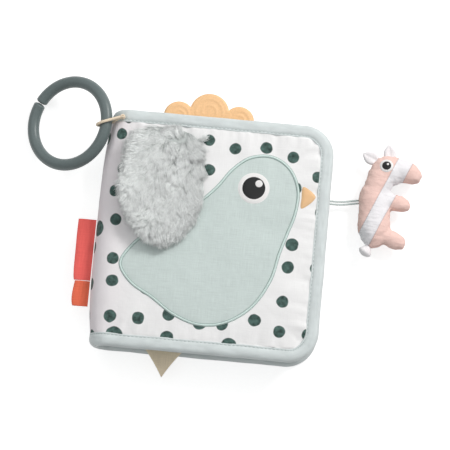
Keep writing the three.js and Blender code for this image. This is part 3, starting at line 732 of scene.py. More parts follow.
def border_distance(points, outline):
    """Distance of each point from the outline, positive inside."""
    points = np.asarray(points, dtype=float)
    ring = np.asarray(outline, dtype=float)
    nearest = np.full(len(points), 1e9)
    inside = np.zeros(len(points), dtype=bool)
    for a, b in zip(ring, np.roll(ring, -1, axis=0)):
        run = b - a
        share = np.clip(((points - a) @ run) / max(run @ run, 1e-12), 0, 1)
        nearest = np.minimum(nearest, np.linalg.norm(points - (a + share[:, None] * run), axis=1))
        crosses = (a[1] > points[:, 1]) != (b[1] > points[:, 1])
        if a[1] != b[1]:
            at = a[0] + (points[:, 1] - a[1]) * run[0] / run[1]
            inside ^= crosses & (points[:, 0] < at)
    return np.where(inside, nearest, -nearest)


def filled(outline, step):
    """Triangles that fill an outline: places, faces and each place's distance from the border."""
    ring = np.asarray(outline)
    (x0, y0), (x1, y1) = ring.min(axis=0), ring.max(axis=0)
    places = []
    for i in range(int((y1 - y0) / step) + 1):
        y = y0 + i * step
        for j in range(int((x1 - x0) / step) + 2):
            places.append((x0 + (j + 0.5 * (i % 2)) * step, y))
    distance = border_distance(places, outline)
    kept = [Vector(p) for p, d in zip(places, distance) if d > step * 0.55]
    corners = [Vector(p) for p in outline]
    edges = [(i, (i + 1) % len(corners)) for i in range(len(corners))]
    verts, _, faces, *_ = delaunay_2d_cdt(corners + kept, edges, [], 1, 1e-5)
    flat = [(v.x, v.y) for v in verts]
    return flat, [tuple(f) for f in faces], np.maximum(border_distance(flat, outline), 0)


def add_patch(name, outline, step, height, material, body, slot, node):
    """A flat shape whose height is given at each place and distance from its border."""
    flat, faces, distance = filled(outline, step)
    verts = [(x, y, height(x, y, d)) for (x, y), d in zip(flat, distance)]
    return make(name, verts, faces, material, body, slot, flat_uvs(flat), node)


BIRD_SPAN, BIRD_LEFT, BIRD_BASE = 120.0, 20.0, 20.0
BIRD_SHARES = [
    (0.0, 0.3), (0.07, 0.2), (0.19, 0.13), (0.32, 0.045), (0.47, 0.0), (0.62, 0.03), (0.75, 0.13),
    (0.835, 0.28), (0.87, 0.43), (0.905, 0.55), (0.94, 0.67), (0.945, 0.8), (0.89, 0.915),
    (0.79, 0.975), (0.67, 0.96), (0.575, 0.885), (0.5, 0.78), (0.4, 0.68), (0.27, 0.6), (0.15, 0.5),
    (0.05, 0.4),
]
BEAK_SHARES = ((0.978, 0.825), (1.05, 0.772), (0.978, 0.7), (0.972, 0.76))
SATIN_SECTION = (  # across the stitches, and height
    (-1.0, -0.15), (-0.85, 0.45), (-0.45, 0.75), (0.0, 0.85), (0.45, 0.72), (0.85, 0.38), (1.0, -0.3),
)
EYE = (104.0, 114.8)


def bird_place(share):
    return BIRD_LEFT + BIRD_SPAN * share[0], BIRD_BASE + BIRD_SPAN * share[1]


def add_bird():
    ring = closed_spline([bird_place(s) for s in BIRD_SHARES], 420)
    add_patch(
        "bird_cloth", ring, 1.7,
        lambda x, y, d: front_height(x, y) + 0.12 + 0.3 * (1 - math.exp(-d / 2)),
        "sage", "front_cover", "sage_cloth", "bird_applique",
    )
    verts, uvs, length = [], [], 0.0
    for i, (x, y) in enumerate(ring):
        length += math.hypot(x - ring[i - 1][0], y - ring[i - 1][1]) if i else 0
        for k, (across, up) in enumerate(SATIN_SECTION):
            px, py = beside(ring, i, 0.5 + 0.75 * across + 0.04 * perlin(length * 2, k, 4))
            verts.append((px, py, front_height(px, py) + up + 0.05 * perlin(length * 1.5, k, 9)))
            uvs.append((length * UV_MM, k * 0.3 * UV_MM))
    faces = grid_faces(len(ring), len(SATIN_SECTION))
    last = (len(ring) - 1) * len(SATIN_SECTION)
    faces += [(last + k, last + k + 1, k + 1, k) for k in range(len(SATIN_SECTION) - 1)]
    make(
        "bird_satin_edge", verts, faces, "mint", "front_cover", "mint_thread", uvs,
        "bird_outline_stitching",
    )
    for name, reach, rise in (("inner", -0.38, 0.3), ("outer", 1.38, 0.02)):
        line = []
        for i in range(len(ring) + 1):
            px, py = beside(ring, i % len(ring), reach)
            line.append(Vector((px, py, front_height(px, py) + rise)))
        radii = [0.17 + 0.04 * perlin(i * 0.7, reach, 2) for i in range(len(line))]
        v, f, u = tube(line, radii, 6)
        make("bird_seam_" + name, v, f, "mint_seam", "front_cover", "mint_thread", u)
    add_patch(
        "bird_beak_satin", closed_spline([bird_place(s) for s in BEAK_SHARES], 60), 0.6,
        lambda x, y, d: front_height(x, y) + 0.1 + 0.9 * (1 - math.exp(-d / 0.8)),
        "peach", "front_cover", "peach_cloth", "bird_beak",
    )


def add_disc(name, centre, radius, base, height, material, slot, node, body, ground):
    """A round embroidered patch, padded towards its middle."""
    verts, uvs, turns, rings = [], [], 56, 9
    for i in range(rings + 1):
        share = i / rings
        for k in range(turns):
            angle = 2 * math.pi * k / turns
            reach = radius * share * (1 + (0.012 * perlin(k * 0.9, 0, radius) if i == rings else 0))
            x, y = centre[0] + reach * math.cos(angle), centre[1] + reach * math.sin(angle)
            rise = base + height * (1 - share ** 5) - (0.5 if i == rings else 0)
            verts.append((x, y, ground(x, y) + rise))
            uvs.append((x * UV_MM, y * UV_MM))
    make(name, verts, grid_faces(rings + 1, turns, True), material, body, slot, uvs, node)


def add_eye(pattern, centre, discs, body, ground):
    """White, dark and glint discs; each says its shift, radius, base, height and node."""
    for part, (right, up, radius, base, height, node) in zip(("white", "dark", "glint"), discs):
        tone = "dark" if part == "dark" else "white"
        place = (centre[0] + right, centre[1] + up)
        add_disc(
            pattern % part, place, radius, base, height, "eye_" + tone, tone + "_thread", node, body,
            ground,
        )


add_bird()
add_eye("eye_%s_satin", EYE, [
    (0, 0, 11.3, 0.55, 0.55, "eye_white_embroidery"),
    (0, 0, 8.3, 1.05, 0.6, "eye_dark_embroidery"),
    (3.2, 3.2, 2.7, 1.5, 0.5, "eye_glint_embroidery"),
], "front_cover", front_height)


# Plush flap
FLAP_LEFT, FLAP_RIGHT, FLAP_BOTTOM, FLAP_TOP = 12.5, 73.0, 69.8, 153.8
FLAP_MID = ((FLAP_LEFT + FLAP_RIGHT) / 2, (FLAP_BOTTOM + FLAP_TOP) / 2)
FLAP_INSET = 3.4
FLAP_BASE = THICK + 1.9
FLAP_CROWN = 2.6
FLAP_EDGE = 9  # the crown falls off over this width


def flap_outline(inset):
    half_x = (FLAP_RIGHT - FLAP_LEFT) / 2 - inset
    half_y = (FLAP_TOP - FLAP_BOTTOM) / 2 - inset
    places, count = [], 90
    for i in range(count):
        angle = 2 * math.pi * i / count
        lean = math.cos(angle - math.radians(50))
        power = 2 / (2.3 + 0.7 * lean)
        reach = lambda v: math.copysign(abs(v) ** power, v)
        wobble = 1 + 0.02 * perlin(math.cos(angle) * 2, math.sin(angle) * 2, 8)
        places.append((
            FLAP_MID[0] + half_x * reach(math.cos(angle)) * wobble,
            FLAP_MID[1] + half_y * reach(math.sin(angle)) * wobble,
        ))
    return places


def flap_lift(x, y):
    """The flap curls up towards its free left and lower edges."""
    away = (FLAP_RIGHT - x) / (FLAP_RIGHT - FLAP_LEFT)
    low = (FLAP_TOP - y) / (FLAP_TOP - FLAP_BOTTOM)
    return FLAP_BASE + 5.2 * max(away, 0) ** 2 + 6.5 * max(low - 0.25, 0) ** 2 * max(away + 0.15, 0)


def add_flap():
    border = flap_outline(FLAP_INSET)
    backing = add_patch(
        "wing_flap_backing_cloth", border, 2.4, lambda x, y, d: flap_lift(x, y), "sage",
        "wing_flap", "sage_cloth", "wing_flap_backing",
    )
    ground = add_patch(
        "wing_flap_ground", border, 2.0,
        lambda x, y, d: flap_lift(x, y) + FLAP_CROWN * math.sqrt(1 - (1 - min(d / FLAP_EDGE, 1)) ** 2) + 0.02,
        "plush", "wing_flap", "plush", "wing_flap_plush",
    )


FIBRES = 40000
TUFTS = 1300
WHORL = (48.0, 137.0)
FIBRE_STEPS, FIBRE_SIDES = 4, 3


def tuft_combs(centres, source):
    """Each tuft's heading, length and rise: away from the whorl and down to the left, with swirls."""
    headings, lengths, rises = [], [], []
    for x, y in centres:
        away = Vector((x - WHORL[0], y - WHORL[1]))
        heading = away / (away.length + 22) + Vector((-0.16, -0.2))
        calm = max(0.75 - heading.length, 0.0)
        heading += Vector((perlin(x / 9, y / 9, 61), perlin(x / 9, y / 9, 67))) * 3.2 * calm
        turn = perlin(x / 16, y / 16, 21) * 1.3 + perlin(x / 8, y / 8, 2) * 0.5
        headings.append((Matrix.Rotation(turn, 2) @ heading).normalized())
        upper = smooth_step((y - 128) / 16)
        lengths.append(source.uniform(9.0, 11.6) + 2.6 * upper)
        rises.append(source.uniform(1.5, 2.5))
    return np.array(headings), np.array(lengths), np.array(rises)


def add_fur():
    """Seeded fibres gathered into pointed tufts that hide the ground cloth."""
    source = np.random.default_rng(5)
    border = np.asarray(flap_outline(FLAP_INSET - 0.3))
    low, high = border.min(axis=0), border.max(axis=0)
    spots = source.uniform(low, high, (FIBRES * 2, 2))
    depth = border_distance(spots, border)
    spots, depth = spots[depth > 0][:FIBRES], depth[depth > 0][:FIBRES]
    centres = source.uniform(low, high, (TUFTS, 2))
    nearest = np.array([np.argmin(((centres - spot) ** 2).sum(axis=1)) for spot in spots])
    headings, lengths, rises = (part[nearest] for part in tuft_combs(centres, source))
    count = len(spots)
    turn = source.normal(0, 0.15, count)
    heading = np.stack((
        headings[:, 0] * np.cos(turn) - headings[:, 1] * np.sin(turn),
        headings[:, 0] * np.sin(turn) + headings[:, 1] * np.cos(turn),
    ), axis=1)
    across = np.stack((-heading[:, 1], heading[:, 0]), axis=1)
    length = lengths * source.uniform(0.8, 1.12, count) * (0.78 + 0.22 * np.clip(depth / 8, 0, 1))
    rise = rises + source.normal(0, 0.25, count)
    gather = (centres[nearest] - spots) * 0.45
    width = source.uniform(0.13, 0.24, count)
    tone = 0.6 * source.uniform(0, 1, TUFTS)[nearest] + 0.4 * source.uniform(0, 1, count)
    crown = FLAP_CROWN * np.sqrt(1 - (1 - np.clip(depth / FLAP_EDGE, 0, 1)) ** 2)
    start_z = np.array([flap_lift(x, y) for x, y in spots]) + crown - 0.4
    size = FIBRE_STEPS * FIBRE_SIDES + 1
    verts = np.zeros((count, size, 3))
    uvs = np.zeros((count, size, 2))
    uvs[:, :, 0] = tone[:, None]
    for k in range(FIBRE_STEPS + 1):
        t = k / FIBRE_STEPS
        place = spots + heading * (length * 0.86 * t)[:, None] + gather * t
        z = start_z + rise * 2 * t - (rise * 1.2 + 0.9) * t * t
        sides = FIBRE_SIDES if k < FIBRE_STEPS else 1
        radius = width * (1 - t) ** 0.6
        for n in range(sides):
            angle = 2 * math.pi * n / FIBRE_SIDES
            at = k * FIBRE_SIDES + n
            verts[:, at, :2] = place + across * (radius * math.cos(angle))[:, None]
            verts[:, at, 2] = z + radius * math.sin(angle)
            uvs[:, at, 1] = t
    pattern = grid_faces(FIBRE_STEPS, FIBRE_SIDES, True)
    ring = (FIBRE_STEPS - 1) * FIBRE_SIDES
    pattern += [(ring + n, ring + (n + 1) % FIBRE_SIDES, size - 1) for n in range(FIBRE_SIDES)]
    faces = [tuple(i * size + v for v in face) for i in range(count) for face in pattern]
    make(
        "wing_flap_pile", verts.reshape(-1, 3).tolist(), faces, "fur", "wing_flap", "plush",
        uvs.reshape(-1, 2),
    )


add_flap()
add_fur()

# Ring and elastic
RING_RADIUS, RING_TUBE, RING_Y = 29.2, 4.0, HEIGHT - 10.5
RING_TOUCH = math.radians(41)
RING_GAP = math.radians(150)
RING_SLIT = 0.3
STRAND, SLACK, CLEAR = 1.0, 0.85, 0.3


def ring_place():
    across = HALF - pull_at(RING_Y)
    normal = Vector((-math.cos(RING_TOUCH) / across, 0, math.sin(RING_TOUCH) / HALF)).normalized()
    touch = Vector((HALF - across * math.cos(RING_TOUCH), RING_Y, HALF + HALF * math.sin(RING_TOUCH)))
    near = touch + normal * (RING_TUBE + 2 * STRAND + SLACK + CLEAR)
    tilt = math.asin((near.z - RING_TUBE) / (2 * RING_RADIUS))
    out = Vector((math.cos(tilt), 0, math.sin(tilt)))
    return near - out * RING_RADIUS, out, near


def add_ring():
    centre, out, _ = ring_place()
    along = Vector((0, 1, 0))
    up = out.cross(along)
    half_slit = math.asin(RING_SLIT / 2 / RING_RADIUS)
    dome = 0.4 * RING_TUBE / RING_RADIUS
    turn = 2 * math.pi - 2 * half_slit
    stations, cap_steps, steps, sides = [], 8, 220, 28
    for k in range(cap_steps + 1):
        angle = math.pi / (2 * cap_steps) * k
        stations.append((dome * (1 - math.cos(angle)), max(math.sin(angle), 0.02)))
    middle = [(dome + (turn - 2 * dome) * k / steps, 1.0) for k in range(1, steps)]
    stations = stations + middle + [(turn - a, r) for a, r in reversed(stations)]
    verts, uvs = [], []
    for angle, share in stations:
        theta = RING_GAP + half_slit + angle
        radial = out * math.cos(theta) + along * math.sin(theta)
        for k in range(sides):
            phi = 2 * math.pi * k / sides
            verts.append(
                centre + radial * (RING_RADIUS + RING_TUBE * share * math.cos(phi))
                + up * (RING_TUBE * share * math.sin(phi))
            )
            uvs.append((angle, phi))
    faces = capped_faces(len(stations), sides)
    make(
        "stroller_ring_smooth", verts, faces, "ring", "hanger_ring", "ring_plastic", uvs,
        "stroller_ring",
    )


KNOT_X, KNOT_DROP, KNOT_RISE, KNOT_RADIUS, KNOT_HALF = 11.3, 6.4, 3.9, 1.8, 3.05
KNOT_TURNS, KNOT_STEPS, LOOP_STEPS = 5, 120, 13


def add_elastic():
    _, _, near = ring_place()
    knot_y = HEIGHT - KNOT_DROP
    lean = (HALF - KNOT_X) / (HALF - pull_at(knot_y))
    surface = HALF * (1 + math.sqrt(1 - lean * lean))
    knot = Vector((KNOT_X, knot_y, surface + KNOT_RISE))
    run = Vector((near.x - knot.x, RING_Y - knot.y, 0))
    reach = run.length
    out = run.normalized()
    wrap_z = RING_TUBE + CLEAR + STRAND
    wrap_s = RING_TUBE / abs(out.x) + CLEAR + STRAND + SLACK
    half = STRAND + 0.15
    flat = [(0.6, half * 0.5), (1.6, half), (KNOT_RADIUS + 0.8, half)]
    for i in range(LOOP_STEPS + 1):
        angle = math.radians(100 - 242 * i / LOOP_STEPS)
        flat.append((reach + wrap_s * math.cos(angle), near.z - knot.z + wrap_z * math.sin(angle)))
    flat += [(KNOT_RADIUS + 0.8, -half), (1.6, -half), (0.6, -half * 0.5)]
    path = spline([knot + out * s + Z * h for s, h in flat], 110)
    radii = [STRAND * (0.97 + 0.05 * perlin(i * 0.4, 0, 3)) for i in range(len(path))]
    verts, faces, uvs = tube(path, radii, 14)
    make("elastic_loop_cord", verts, faces, "elastic", "hanger_loop", "elastic", uvs, "elastic_loop")
    turns = []
    for i in range(KNOT_STEPS + 1):
        share = i / KNOT_STEPS
        angle = 2 * math.pi * KNOT_TURNS * share
        height = (share - 0.5) * 2 * (KNOT_HALF - 0.6)
        bulge = 1.15 * math.sqrt(max(1 - (2 * share - 1) ** 2 * 0.75, 0))
        turns.append(knot + Vector((bulge * math.cos(angle), bulge * math.sin(angle), height)))
    verts, faces, uvs = tube(turns, [0.62] * len(turns), 10)
    make("elastic_knot_wound", verts, faces, "elastic", "hanger_knot", "elastic", uvs, "elastic_knot")


add_ring()
add_elastic()


# Woven tabs: a ribbon folded on itself, open towards the spine
TAB_ROOT = 0.55  # the ribbon starts this far outside the spine


def add_tab(name, node, material, slot, reach, low, high, seed):
    verts, uvs, profile, count, turns = [], [], [], 40, 30
    for k in range(turns + 1):
        share = k / turns
        angle = math.pi * share
        x = -TAB_ROOT - (reach - TAB_ROOT) * math.sin(angle) ** 0.45
        profile.append((x, math.cos(angle), share))
    for i in range(count + 1):
        y = low + (high - low) * i / count
        edge = min(i, count - i) / count
        for x, side, share in profile:
            away = (-TAB_ROOT - x) / reach
            bow = 0.75 * perlin(y / 22, 0.3, seed) + 0.9 * math.sin(math.pi * (i / count) ** 0.6)
            droop = -1.2 * away ** 3 + 0.8 * perlin(y / 17, away, seed + 4) * away ** 2
            open_up = 0.16 + 1.3 * away ** 2 * (1 - away ** 6)
            skew = (0.9 - 0.03 * (y - low)) * away
            z = HALF + droop + side * open_up - (0.1 if edge < 0.02 else 0)
            verts.append((x + skew - bow * away, y, z))
            uvs.append((share * 2 * reach * UV_MM, y * UV_MM))
    faces = grid_faces(count + 1, len(profile))
    ribbon = make(name, verts, faces, material, "spine_tabs", slot, uvs, node)


add_tab("long_tab_ribbon", "long_woven_tab", "red", "red_tab", 12.4, 44.5, 86.5, 3.0)
add_tab("short_tab_ribbon", "short_woven_tab", "orange", "orange_tab", 11.4, 26.8, 44.1, 9.0)


# Teether and corner tab
def add_slab(name, outline, step, middle, half, rounding, emboss, material, body, slot, node, droop=None):
    """A flat moulded or folded shape with rounded edges on both faces."""
    flat, faces, distance = filled(outline, step)
    count = len(flat)
    verts = []
    for side in (1, -1):
        for (x, y), d in zip(flat, distance):
            edge = math.sqrt(max(1 - (1 - min(d / rounding, 1)) ** 2, 0))
            sag = droop(x, y) if droop else 0
            verts.append((x, y, middle + sag + side * (half * edge + emboss(x, y) * (edge > 0.99))))
    faces = list(faces) + [tuple(count + v for v in reversed(face)) for face in faces]
    return make(name, verts, faces, material, body, slot, flat_uvs(flat) * 2, node)


TEETHER_LEFT, TEETHER_RIGHT = 38.0, 100.0
TEETHER_TOP, TEETHER_SHOULDER = HEIGHT + 18.2, HEIGHT + 11
ARC_HEIGHT = 0.32  # of the moulded rings
LOBE_STEPS = 60


def add_teether():
    span = TEETHER_RIGHT - TEETHER_LEFT
    side, top = span / 6, span * 0.217
    root = HEIGHT - LEAF_INSET + 0.3
    lobes = [
        (TEETHER_LEFT + side, TEETHER_SHOULDER - side, side),
        ((TEETHER_LEFT + TEETHER_RIGHT) / 2, TEETHER_TOP - top, top),
        (TEETHER_RIGHT - side, TEETHER_SHOULDER - side, side),
    ]
    outline = [(TEETHER_LEFT + 0.3, root)]
    for i, (cx, cy, r) in enumerate(lobes):
        for k in range(LOBE_STEPS + 1):
            angle = math.radians(200 - 220 * k / LOBE_STEPS)
            x, y = cx + r * math.cos(angle), cy + r * math.sin(angle)
            others = lobes[:i] + lobes[i + 1:]
            if y > root + 0.5 and not any(math.hypot(x - a, y - b) < c for a, b, c in others):
                outline.append((x, y))
    outline.append((TEETHER_RIGHT - 0.3, root))
    outline.reverse()

    def emboss(x, y):
        height = 0.0
        for cx, cy, r in lobes:
            ring = math.hypot(x - cx, y - cy)
            if ring > r or y < cy - 2:
                continue
            for share in (0.36, 0.68):
                height = max(height, ARC_HEIGHT * bell(ring - share * r, 0.6))
        return height

    add_slab(
        "silicone_teether_soft", outline, 0.75, FRONT_MIDDLE, 2.5, 1.6, emboss, "silicone", "front_leaf",
        "peach_silicone", "silicone_teether",
    )


TAB_TIP = (53.4, -15.6)
TAB_CORNERS = [(40.4, 3.0), TAB_TIP, (66.4, 3.0)]
TAB_BOWS = (0.5, -0.5, 0)  # how far each side bows out


def add_corner_tab():
    outline, steps = [], 14
    for a, b, bow in zip(TAB_CORNERS, TAB_CORNERS[1:] + TAB_CORNERS[:1], TAB_BOWS):
        for k in range(steps):
            t = k / steps
            x, y = a[0] + (b[0] - a[0]) * t, a[1] + (b[1] - a[1]) * t
            outline.append((x + bow * math.sin(math.pi * t), y))
    fold = lambda x, y: -2.4 * max((2 - y) / 17, 0) ** 2 + 0.5 * perlin(x / 9, y / 9, 6)
    crease = lambda x, y: -0.25 * bell(x - TAB_TIP[0] + (y - TAB_TIP[1]) * 0.12, 0.9)
    tab = add_slab(
        "cream_corner_cloth", outline, 1.0, BACK_MIDDLE, 0.75, 1.0, crease, "cream", "back_leaf",
        "cream_cloth", "cream_corner_tab", fold,
    )


add_teether()
add_corner_tab()


# Tether: one cord doubled back, the same route as in part.mjs
TETHER_ROUTE = [
    (71.6, 112.4, 6.1), (80, 112.3, 6.1), (90, 112.4, 6.1), (101, 112.9, 6.1), (112, 113.5, 6.1),
    (123, 114, 6.1), (134, 114.4, 6.1), (145, 114.7, 6.1), (154, 114.9, 6.1), (159.4, 115.1, 5.9),
    (162.2, 115.3, 5.2), (164.8, 115.6, 4.7), (167.4, 115.9, 4.7), (170.2, 116.3, 5.2),
    (172.6, 116.6, 6.2), (174.8, 116.8, 7.2), (176.2, 116.9, 7.9),
]
TETHER_DIAMETER = 1.5
PATCH_X, PATCH_Y = (59, 65, 71), (107.9, 112.4, 116.9)


def add_tether():
    left, middle, right = PATCH_X
    low, centre, high = PATCH_Y
    outline = [
        (left, low), (middle, low), (right, low), (right, centre), (right, high), (middle, high),
        (left, high), (left, centre),
    ]
    add_patch(
        "tether_patch_cloth", outline, 1.2,
        lambda x, y, d: COVER + 0.15 + 0.6 * (1 - math.exp(-d / 0.5)),
        "lining", "back_cover", "lining_cloth", "tether_patch",
    )
    radius = TETHER_DIAMETER / 2
    plies = lambda angle, length: 0.92 + 0.13 * math.cos(3 * (angle - length * 2.1))
    for name, shift in (("lower", -1.0), ("upper", 1.0)):
        path = spline([(x, y + shift, z) for x, y, z in TETHER_ROUTE], 150)
        verts, faces, uvs = tube(path, [radius] * len(path), 15, plies)
        uvs = [(u, v / radius) for u, v in uvs]
        strand = make(
            "tether_cord_" + name, verts, faces, "tether", "back_cover", "tether_cord", uvs,
            "tether_strand_" + name,
        )


add_tether()


# Stuffed pony, the same places as in part.mjs
TOY_X, TOY_Y, TOY_HALF = WIDTH + 31, 110.0, 10.0
TOY_LENGTH, TOY_HEIGHT = 25.0, 11.5
TOY = {
    "rump": (0.16, -0.97), "chest": (-0.1, 0.97), "head_back": (-0.3, 1.02), "head_front": (1.75, 1.36),
    "muzzle_back": (1.3, 1.3), "muzzle_front": (2.65, 1.02), "front_leg_top": (0.35, 0.42),
    "front_leg_foot": (2.15, 0.24), "rear_leg_top": (0.45, -0.56), "rear_leg_foot": (2.0, -0.84),
    "tail_root": (-0.1, -0.93), "tail_tip": (-0.45, -1.2), "upper_ear_root": (-0.1, 1.45),
    "upper_ear_tip": (-0.9, 1.62), "lower_ear_root": (0.72, 1.52), "lower_ear_tip": (0.6, 1.92),
    "neck_low": (-0.05, 0.5), "neck_high": (0.5, 1.3), "brow_back": (0.7, 1.33), "brow_front": (2.35, 1.13),
    "eye": (0.5, 1.27),
}
TOY_BODY = (0.34, 0.72, 0.93, 1, 0.97, 0.93, 0.95, 0.9, 0.66, 0.3)
TOY_HEAD = (0.4, 0.76, 0.94, 1, 0.98, 0.88, 0.68, 0.36)
TOY_MUZZLE = (0.7, 0.92, 1, 0.97, 0.78, 0.42)
TOY_LEG = (0.85, 0.95, 1, 1.02, 1, 0.86, 0.5)
TOY_TAIL = (0.5, 0.7, 0.85, 1.1, 1.2, 1.0, 0.4)
TOY_NECK = (0.7, 0.95, 1, 1, 0.95, 0.7)
TOY_LIMBS = [  # from, to, half height, half thickness and swelling
    ("rump", "chest", TOY_HEIGHT, TOY_HALF, TOY_BODY),
    ("neck_low", "neck_high", 9.6, 9.2, TOY_NECK),
    ("head_back", "head_front", 11, 9.5, TOY_HEAD),
    ("brow_back", "brow_front", 7.8, 8.4, TOY_NECK),
    ("muzzle_back", "muzzle_front", 7, 7.6, TOY_MUZZLE),
    ("front_leg_top", "front_leg_foot", 5.8, 5.8, TOY_LEG),
    ("rear_leg_top", "rear_leg_foot", 5.8, 5.8, TOY_LEG),
]
TOY_STRIPES = (0.92, -0.39)  # direction across the stripes
SEAM_Z = TOY_HALF + 1.5


def toy_place(name):
    across, up = TOY[name]
    return Vector((TOY_X + TOY_HEIGHT * across, TOY_Y + TOY_LENGTH * up, TOY_HALF))


def swelling(start, end, half_height, half_thick, shares):
    """A stuffed limb: smooth sections between two places."""
    a, b = toy_place(start), toy_place(end)
    along = (b - a).normalized()
    side = along.cross(Z).normalized()
    verts, sides, steps = [], 28, 30
    for i in range(steps + 1):
        place = i / steps * (len(shares) - 1)
        k = min(int(place), len(shares) - 2)
        t = place - k
        radius = shares[k] + (shares[k + 1] - shares[k]) * smooth_step(t)
        centre = a.lerp(b, i / steps)
        for n in range(sides):
            angle = 2 * math.pi * n / sides
            verts.append(
                centre + side * (half_height * radius * math.cos(angle))
                + Z * (half_thick * radius * math.sin(angle))
            )
    return verts, capped_faces(steps + 1, sides)


def joined(parts):
    verts, faces = [], []
    for v, f in parts:
        faces += [tuple(len(verts) + k for k in face) for face in f]
        verts += v
    return verts, faces


def toy_look(name):
    """Broad pink and white stripes that run along the pony, sewn together."""
    look = Look(name, (243, 211, 202), 0.9, sheen=0.15, specular=0.2)
    place = look.coords(kind="Object")
    run_x, run_y = TOY_STRIPES
    along = look.vector("DOT_PRODUCT", {0: place, 1: (run_x / MM, run_y / MM, 0)}, "Value")
    centre = run_x * (TOY_X - WIDTH / 2) + run_y * (TOY_Y - HEIGHT / 2)
    wander = look.math("MULTIPLY", look.noise(place, 30, 1), 1.6)
    across = look.math("ADD", look.math("SUBTRACT", along, centre), wander)
    off_middle = look.math("ABSOLUTE", look.math("SUBTRACT", across, 3.6))
    white = look.remap(off_middle, 5.25, 5.0)
    seam = look.remap(look.math("ABSOLUTE", look.math("SUBTRACT", off_middle, 5.1)), 0.5, 0.0)
    grain = look.remap(look.noise(place, 2200, 2), 0.3, 0.7)
    pink = look.tint(((235, 198, 188), (247, 215, 206)), grain)
    pale = look.tint(((234, 232, 235), (243, 241, 244)), grain)
    cloth = look.tint((pink, pale), white)
    look.colour(look.tint((cloth, (190, 160, 155)), look.math("MULTIPLY", seam, 0.4)))
    look.bump(look.math("MULTIPLY", seam, -1.0), 0.6, 0.0006)
    look.bump(look.noise(place, 2600, 2), 0.25, 0.0002)
    look.bump(look.noise(look.coords((1, 2.4, 1), "Object"), 150, 2), 0.55, 0.0016)
    return look.material


mat["toy"] = toy_look("striped_cotton")
mat["toy_white"] = plain_cloth("ear_cotton", (242, 239, 241))


def remeshed(piece, voxel, passes):
    """The piece's union as one smooth skin."""
    grown = piece.modifiers.new("skin", "REMESH")
    grown.mode = "VOXEL"
    grown.voxel_size = voxel * MM
    soft = piece.modifiers.new("soft", "SMOOTH")
    soft.iterations = passes
    soft.factor = 0.6
    evaluated = piece.evaluated_get(bpy.context.evaluated_depsgraph_get())
    mesh = bpy.data.meshes.new_from_object(evaluated)
    piece.modifiers.clear()
    piece.data = mesh
    mesh.polygons.foreach_set("use_smooth", [True] * len(mesh.polygons))


def add_pony_skin():
    skin = make("pony_skin", *joined(swelling(*limb) for limb in TOY_LIMBS), "toy")
    remeshed(skin, 0.8, 26)
    for vertex in skin.data.vertices:
        x, y, z = (c / MM for c in vertex.co)
        seam = bell(z - SEAM_Z, 0.7)
        near = bell(z - SEAM_Z, 3.5)
        wrinkle = 0.35 * perlin(x / 5, y / 5, z / 5) + 0.8 * perlin(x / 3, y / 3, 3) * near
        vertex.co += vertex.normal * (wrinkle - 0.7 * seam) * MM
        vertex.co.z = max(vertex.co.z, 0.0)
    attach(skin, "toy")
    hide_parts("toy_body", "toy_head", "toy_muzzle", "toy_front_leg", "toy_rear_leg")
    return skin


def add_ear(name, root, tip, half_width, node):
    """A flat leaf of two cloths, pinched at its root and creased along its middle."""
    a, b = toy_place(root), toy_place(tip)
    along = (b - a).normalized()
    side = Vector((-along.y, along.x, 0))
    a = a - along * 1.5
    reach = (b - a).length
    swell = (0.55, 0.72, 0.9, 1.0, 1.02, 0.95, 0.78, 0.5, 0.15)
    outline = []
    for sign in (1, -1):
        line = []
        for i, share in enumerate(swell):
            centre = a + along * (reach * i / (len(swell) - 1))
            line.append(centre + side * (sign * half_width * share))
        outline += line if sign > 0 else line[::-1]
    smooth = closed_spline([(p.x, p.y) for p in outline], 72)

    def crease(x, y):
        off = (Vector((x, y, TOY_HALF)) - a).dot(side)
        return -0.7 * bell(off, 0.9)

    ear = add_slab(
        name, smooth, 0.7, TOY_HALF, 1.5, 1.6, crease, "toy_white", "toy", "toy_white", node,
        lambda x, y: 0.5 * perlin(x / 5, y / 5, 2),
    )


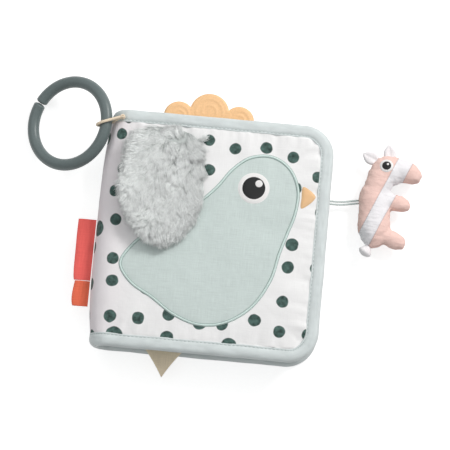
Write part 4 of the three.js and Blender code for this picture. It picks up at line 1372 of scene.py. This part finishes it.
def add_toy():
    skin = add_pony_skin()
    tail = make("pony_tail", *swelling("tail_root", "tail_tip", 4.0, 3.5, TOY_TAIL), "toy_white")
    remeshed(tail, 0.5, 8)
    layer = tail.data.uv_layers.new(name="flat")
    for loop in tail.data.loops:
        place = tail.data.vertices[loop.vertex_index].co / MM
        layer.data[loop.index].uv = (place.x * UV_MM, place.y * UV_MM)
    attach(tail, "toy")
    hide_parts("toy_tail")
    add_ear("pony_upper_ear", "upper_ear_root", "upper_ear_tip", 4.6, "toy_upper_ear")
    add_ear("pony_lower_ear", "lower_ear_root", "lower_ear_tip", 4.2, "toy_lower_ear")
    places = [v.co for v in skin.data.vertices]
    tree = BVHTree.FromPolygons(places, [p.vertices for p in skin.data.polygons])

    def top(x, y):
        px, py, _ = row(x, y, 0)
        hit = tree.ray_cast(Vector((px, py, 3 * THICK * MM)), -Z)[0]
        return hit.z / MM

    add_eye("pony_eye_%s", toy_place("eye"), [
        (0, 0, 4.9, 0.1, 0.45, None), (0, 0, 3.3, 0.5, 0.5, "toy_eye"), (0.7, 0.9, 0.9, 0.95, 0.35, None),
    ], "toy", top)


add_toy()


# Floor and light
def add_stage():
    """A plain pale floor that shows white to the camera and keeps a soft shadow."""
    size, low = 3.0, -0.0004
    mesh = bpy.data.meshes.new("floor")
    corners = [(-size, -size, low), (size, -size, low), (size, size, low), (-size, size, low)]
    mesh.from_pydata(corners, [], [(0, 1, 2, 3)])
    look = Look("floor_paper", (206, 206, 206), 0.95, specular=0.0)
    grain = look.noise(look.coords(kind="Object"), 400, 2)
    look.colour(look.tint(((202, 202, 202), (208, 208, 208)), grain))
    rays = (look.node("ShaderNodeLightPath", kind, {}) for kind in ("Is Camera Ray", "Is Glossy Ray"))
    seen = look.math("MAXIMUM", *rays)
    look.shader.inputs["Emission Color"].default_value = (1, 1, 1, 1)
    look.link(look.math("MULTIPLY", seen, 0.7), look.shader.inputs["Emission Strength"])
    mesh.materials.append(look.material)
    placed("floor", mesh)


def add_light(name, place, energy, size, colour):
    data = bpy.data.lights.new(name, "AREA")
    data.shape = "DISK"
    data.size = size
    data.energy = energy
    data.color = colour
    lamp = placed(name, data)
    lamp.location = place
    lamp.rotation_euler = (-Vector(place)).to_track_quat("-Z", "Y").to_euler()


def add_world():
    world = bpy.data.worlds.new("studio")
    bpy.context.scene.world = world
    world.use_nodes = True
    background = world.node_tree.nodes["Background"]
    background.inputs["Color"].default_value = (1, 1, 1, 1)
    background.inputs["Strength"].default_value = 0.47


KEY_PLACE = RIGHT * 0.85 + UP * 0.75 + Z
FILL_PLACE = RIGHT * -0.6 + UP * 0.5 + Z * 1.2
add_stage()
add_world()
add_light("key", KEY_PLACE, 13.5, 0.5, (1.0, 0.985, 0.97))
add_light("fill", FILL_PLACE, 3, 1.3, (0.97, 0.985, 1.0))
bpy.context.scene.view_settings.view_transform = "Standard"
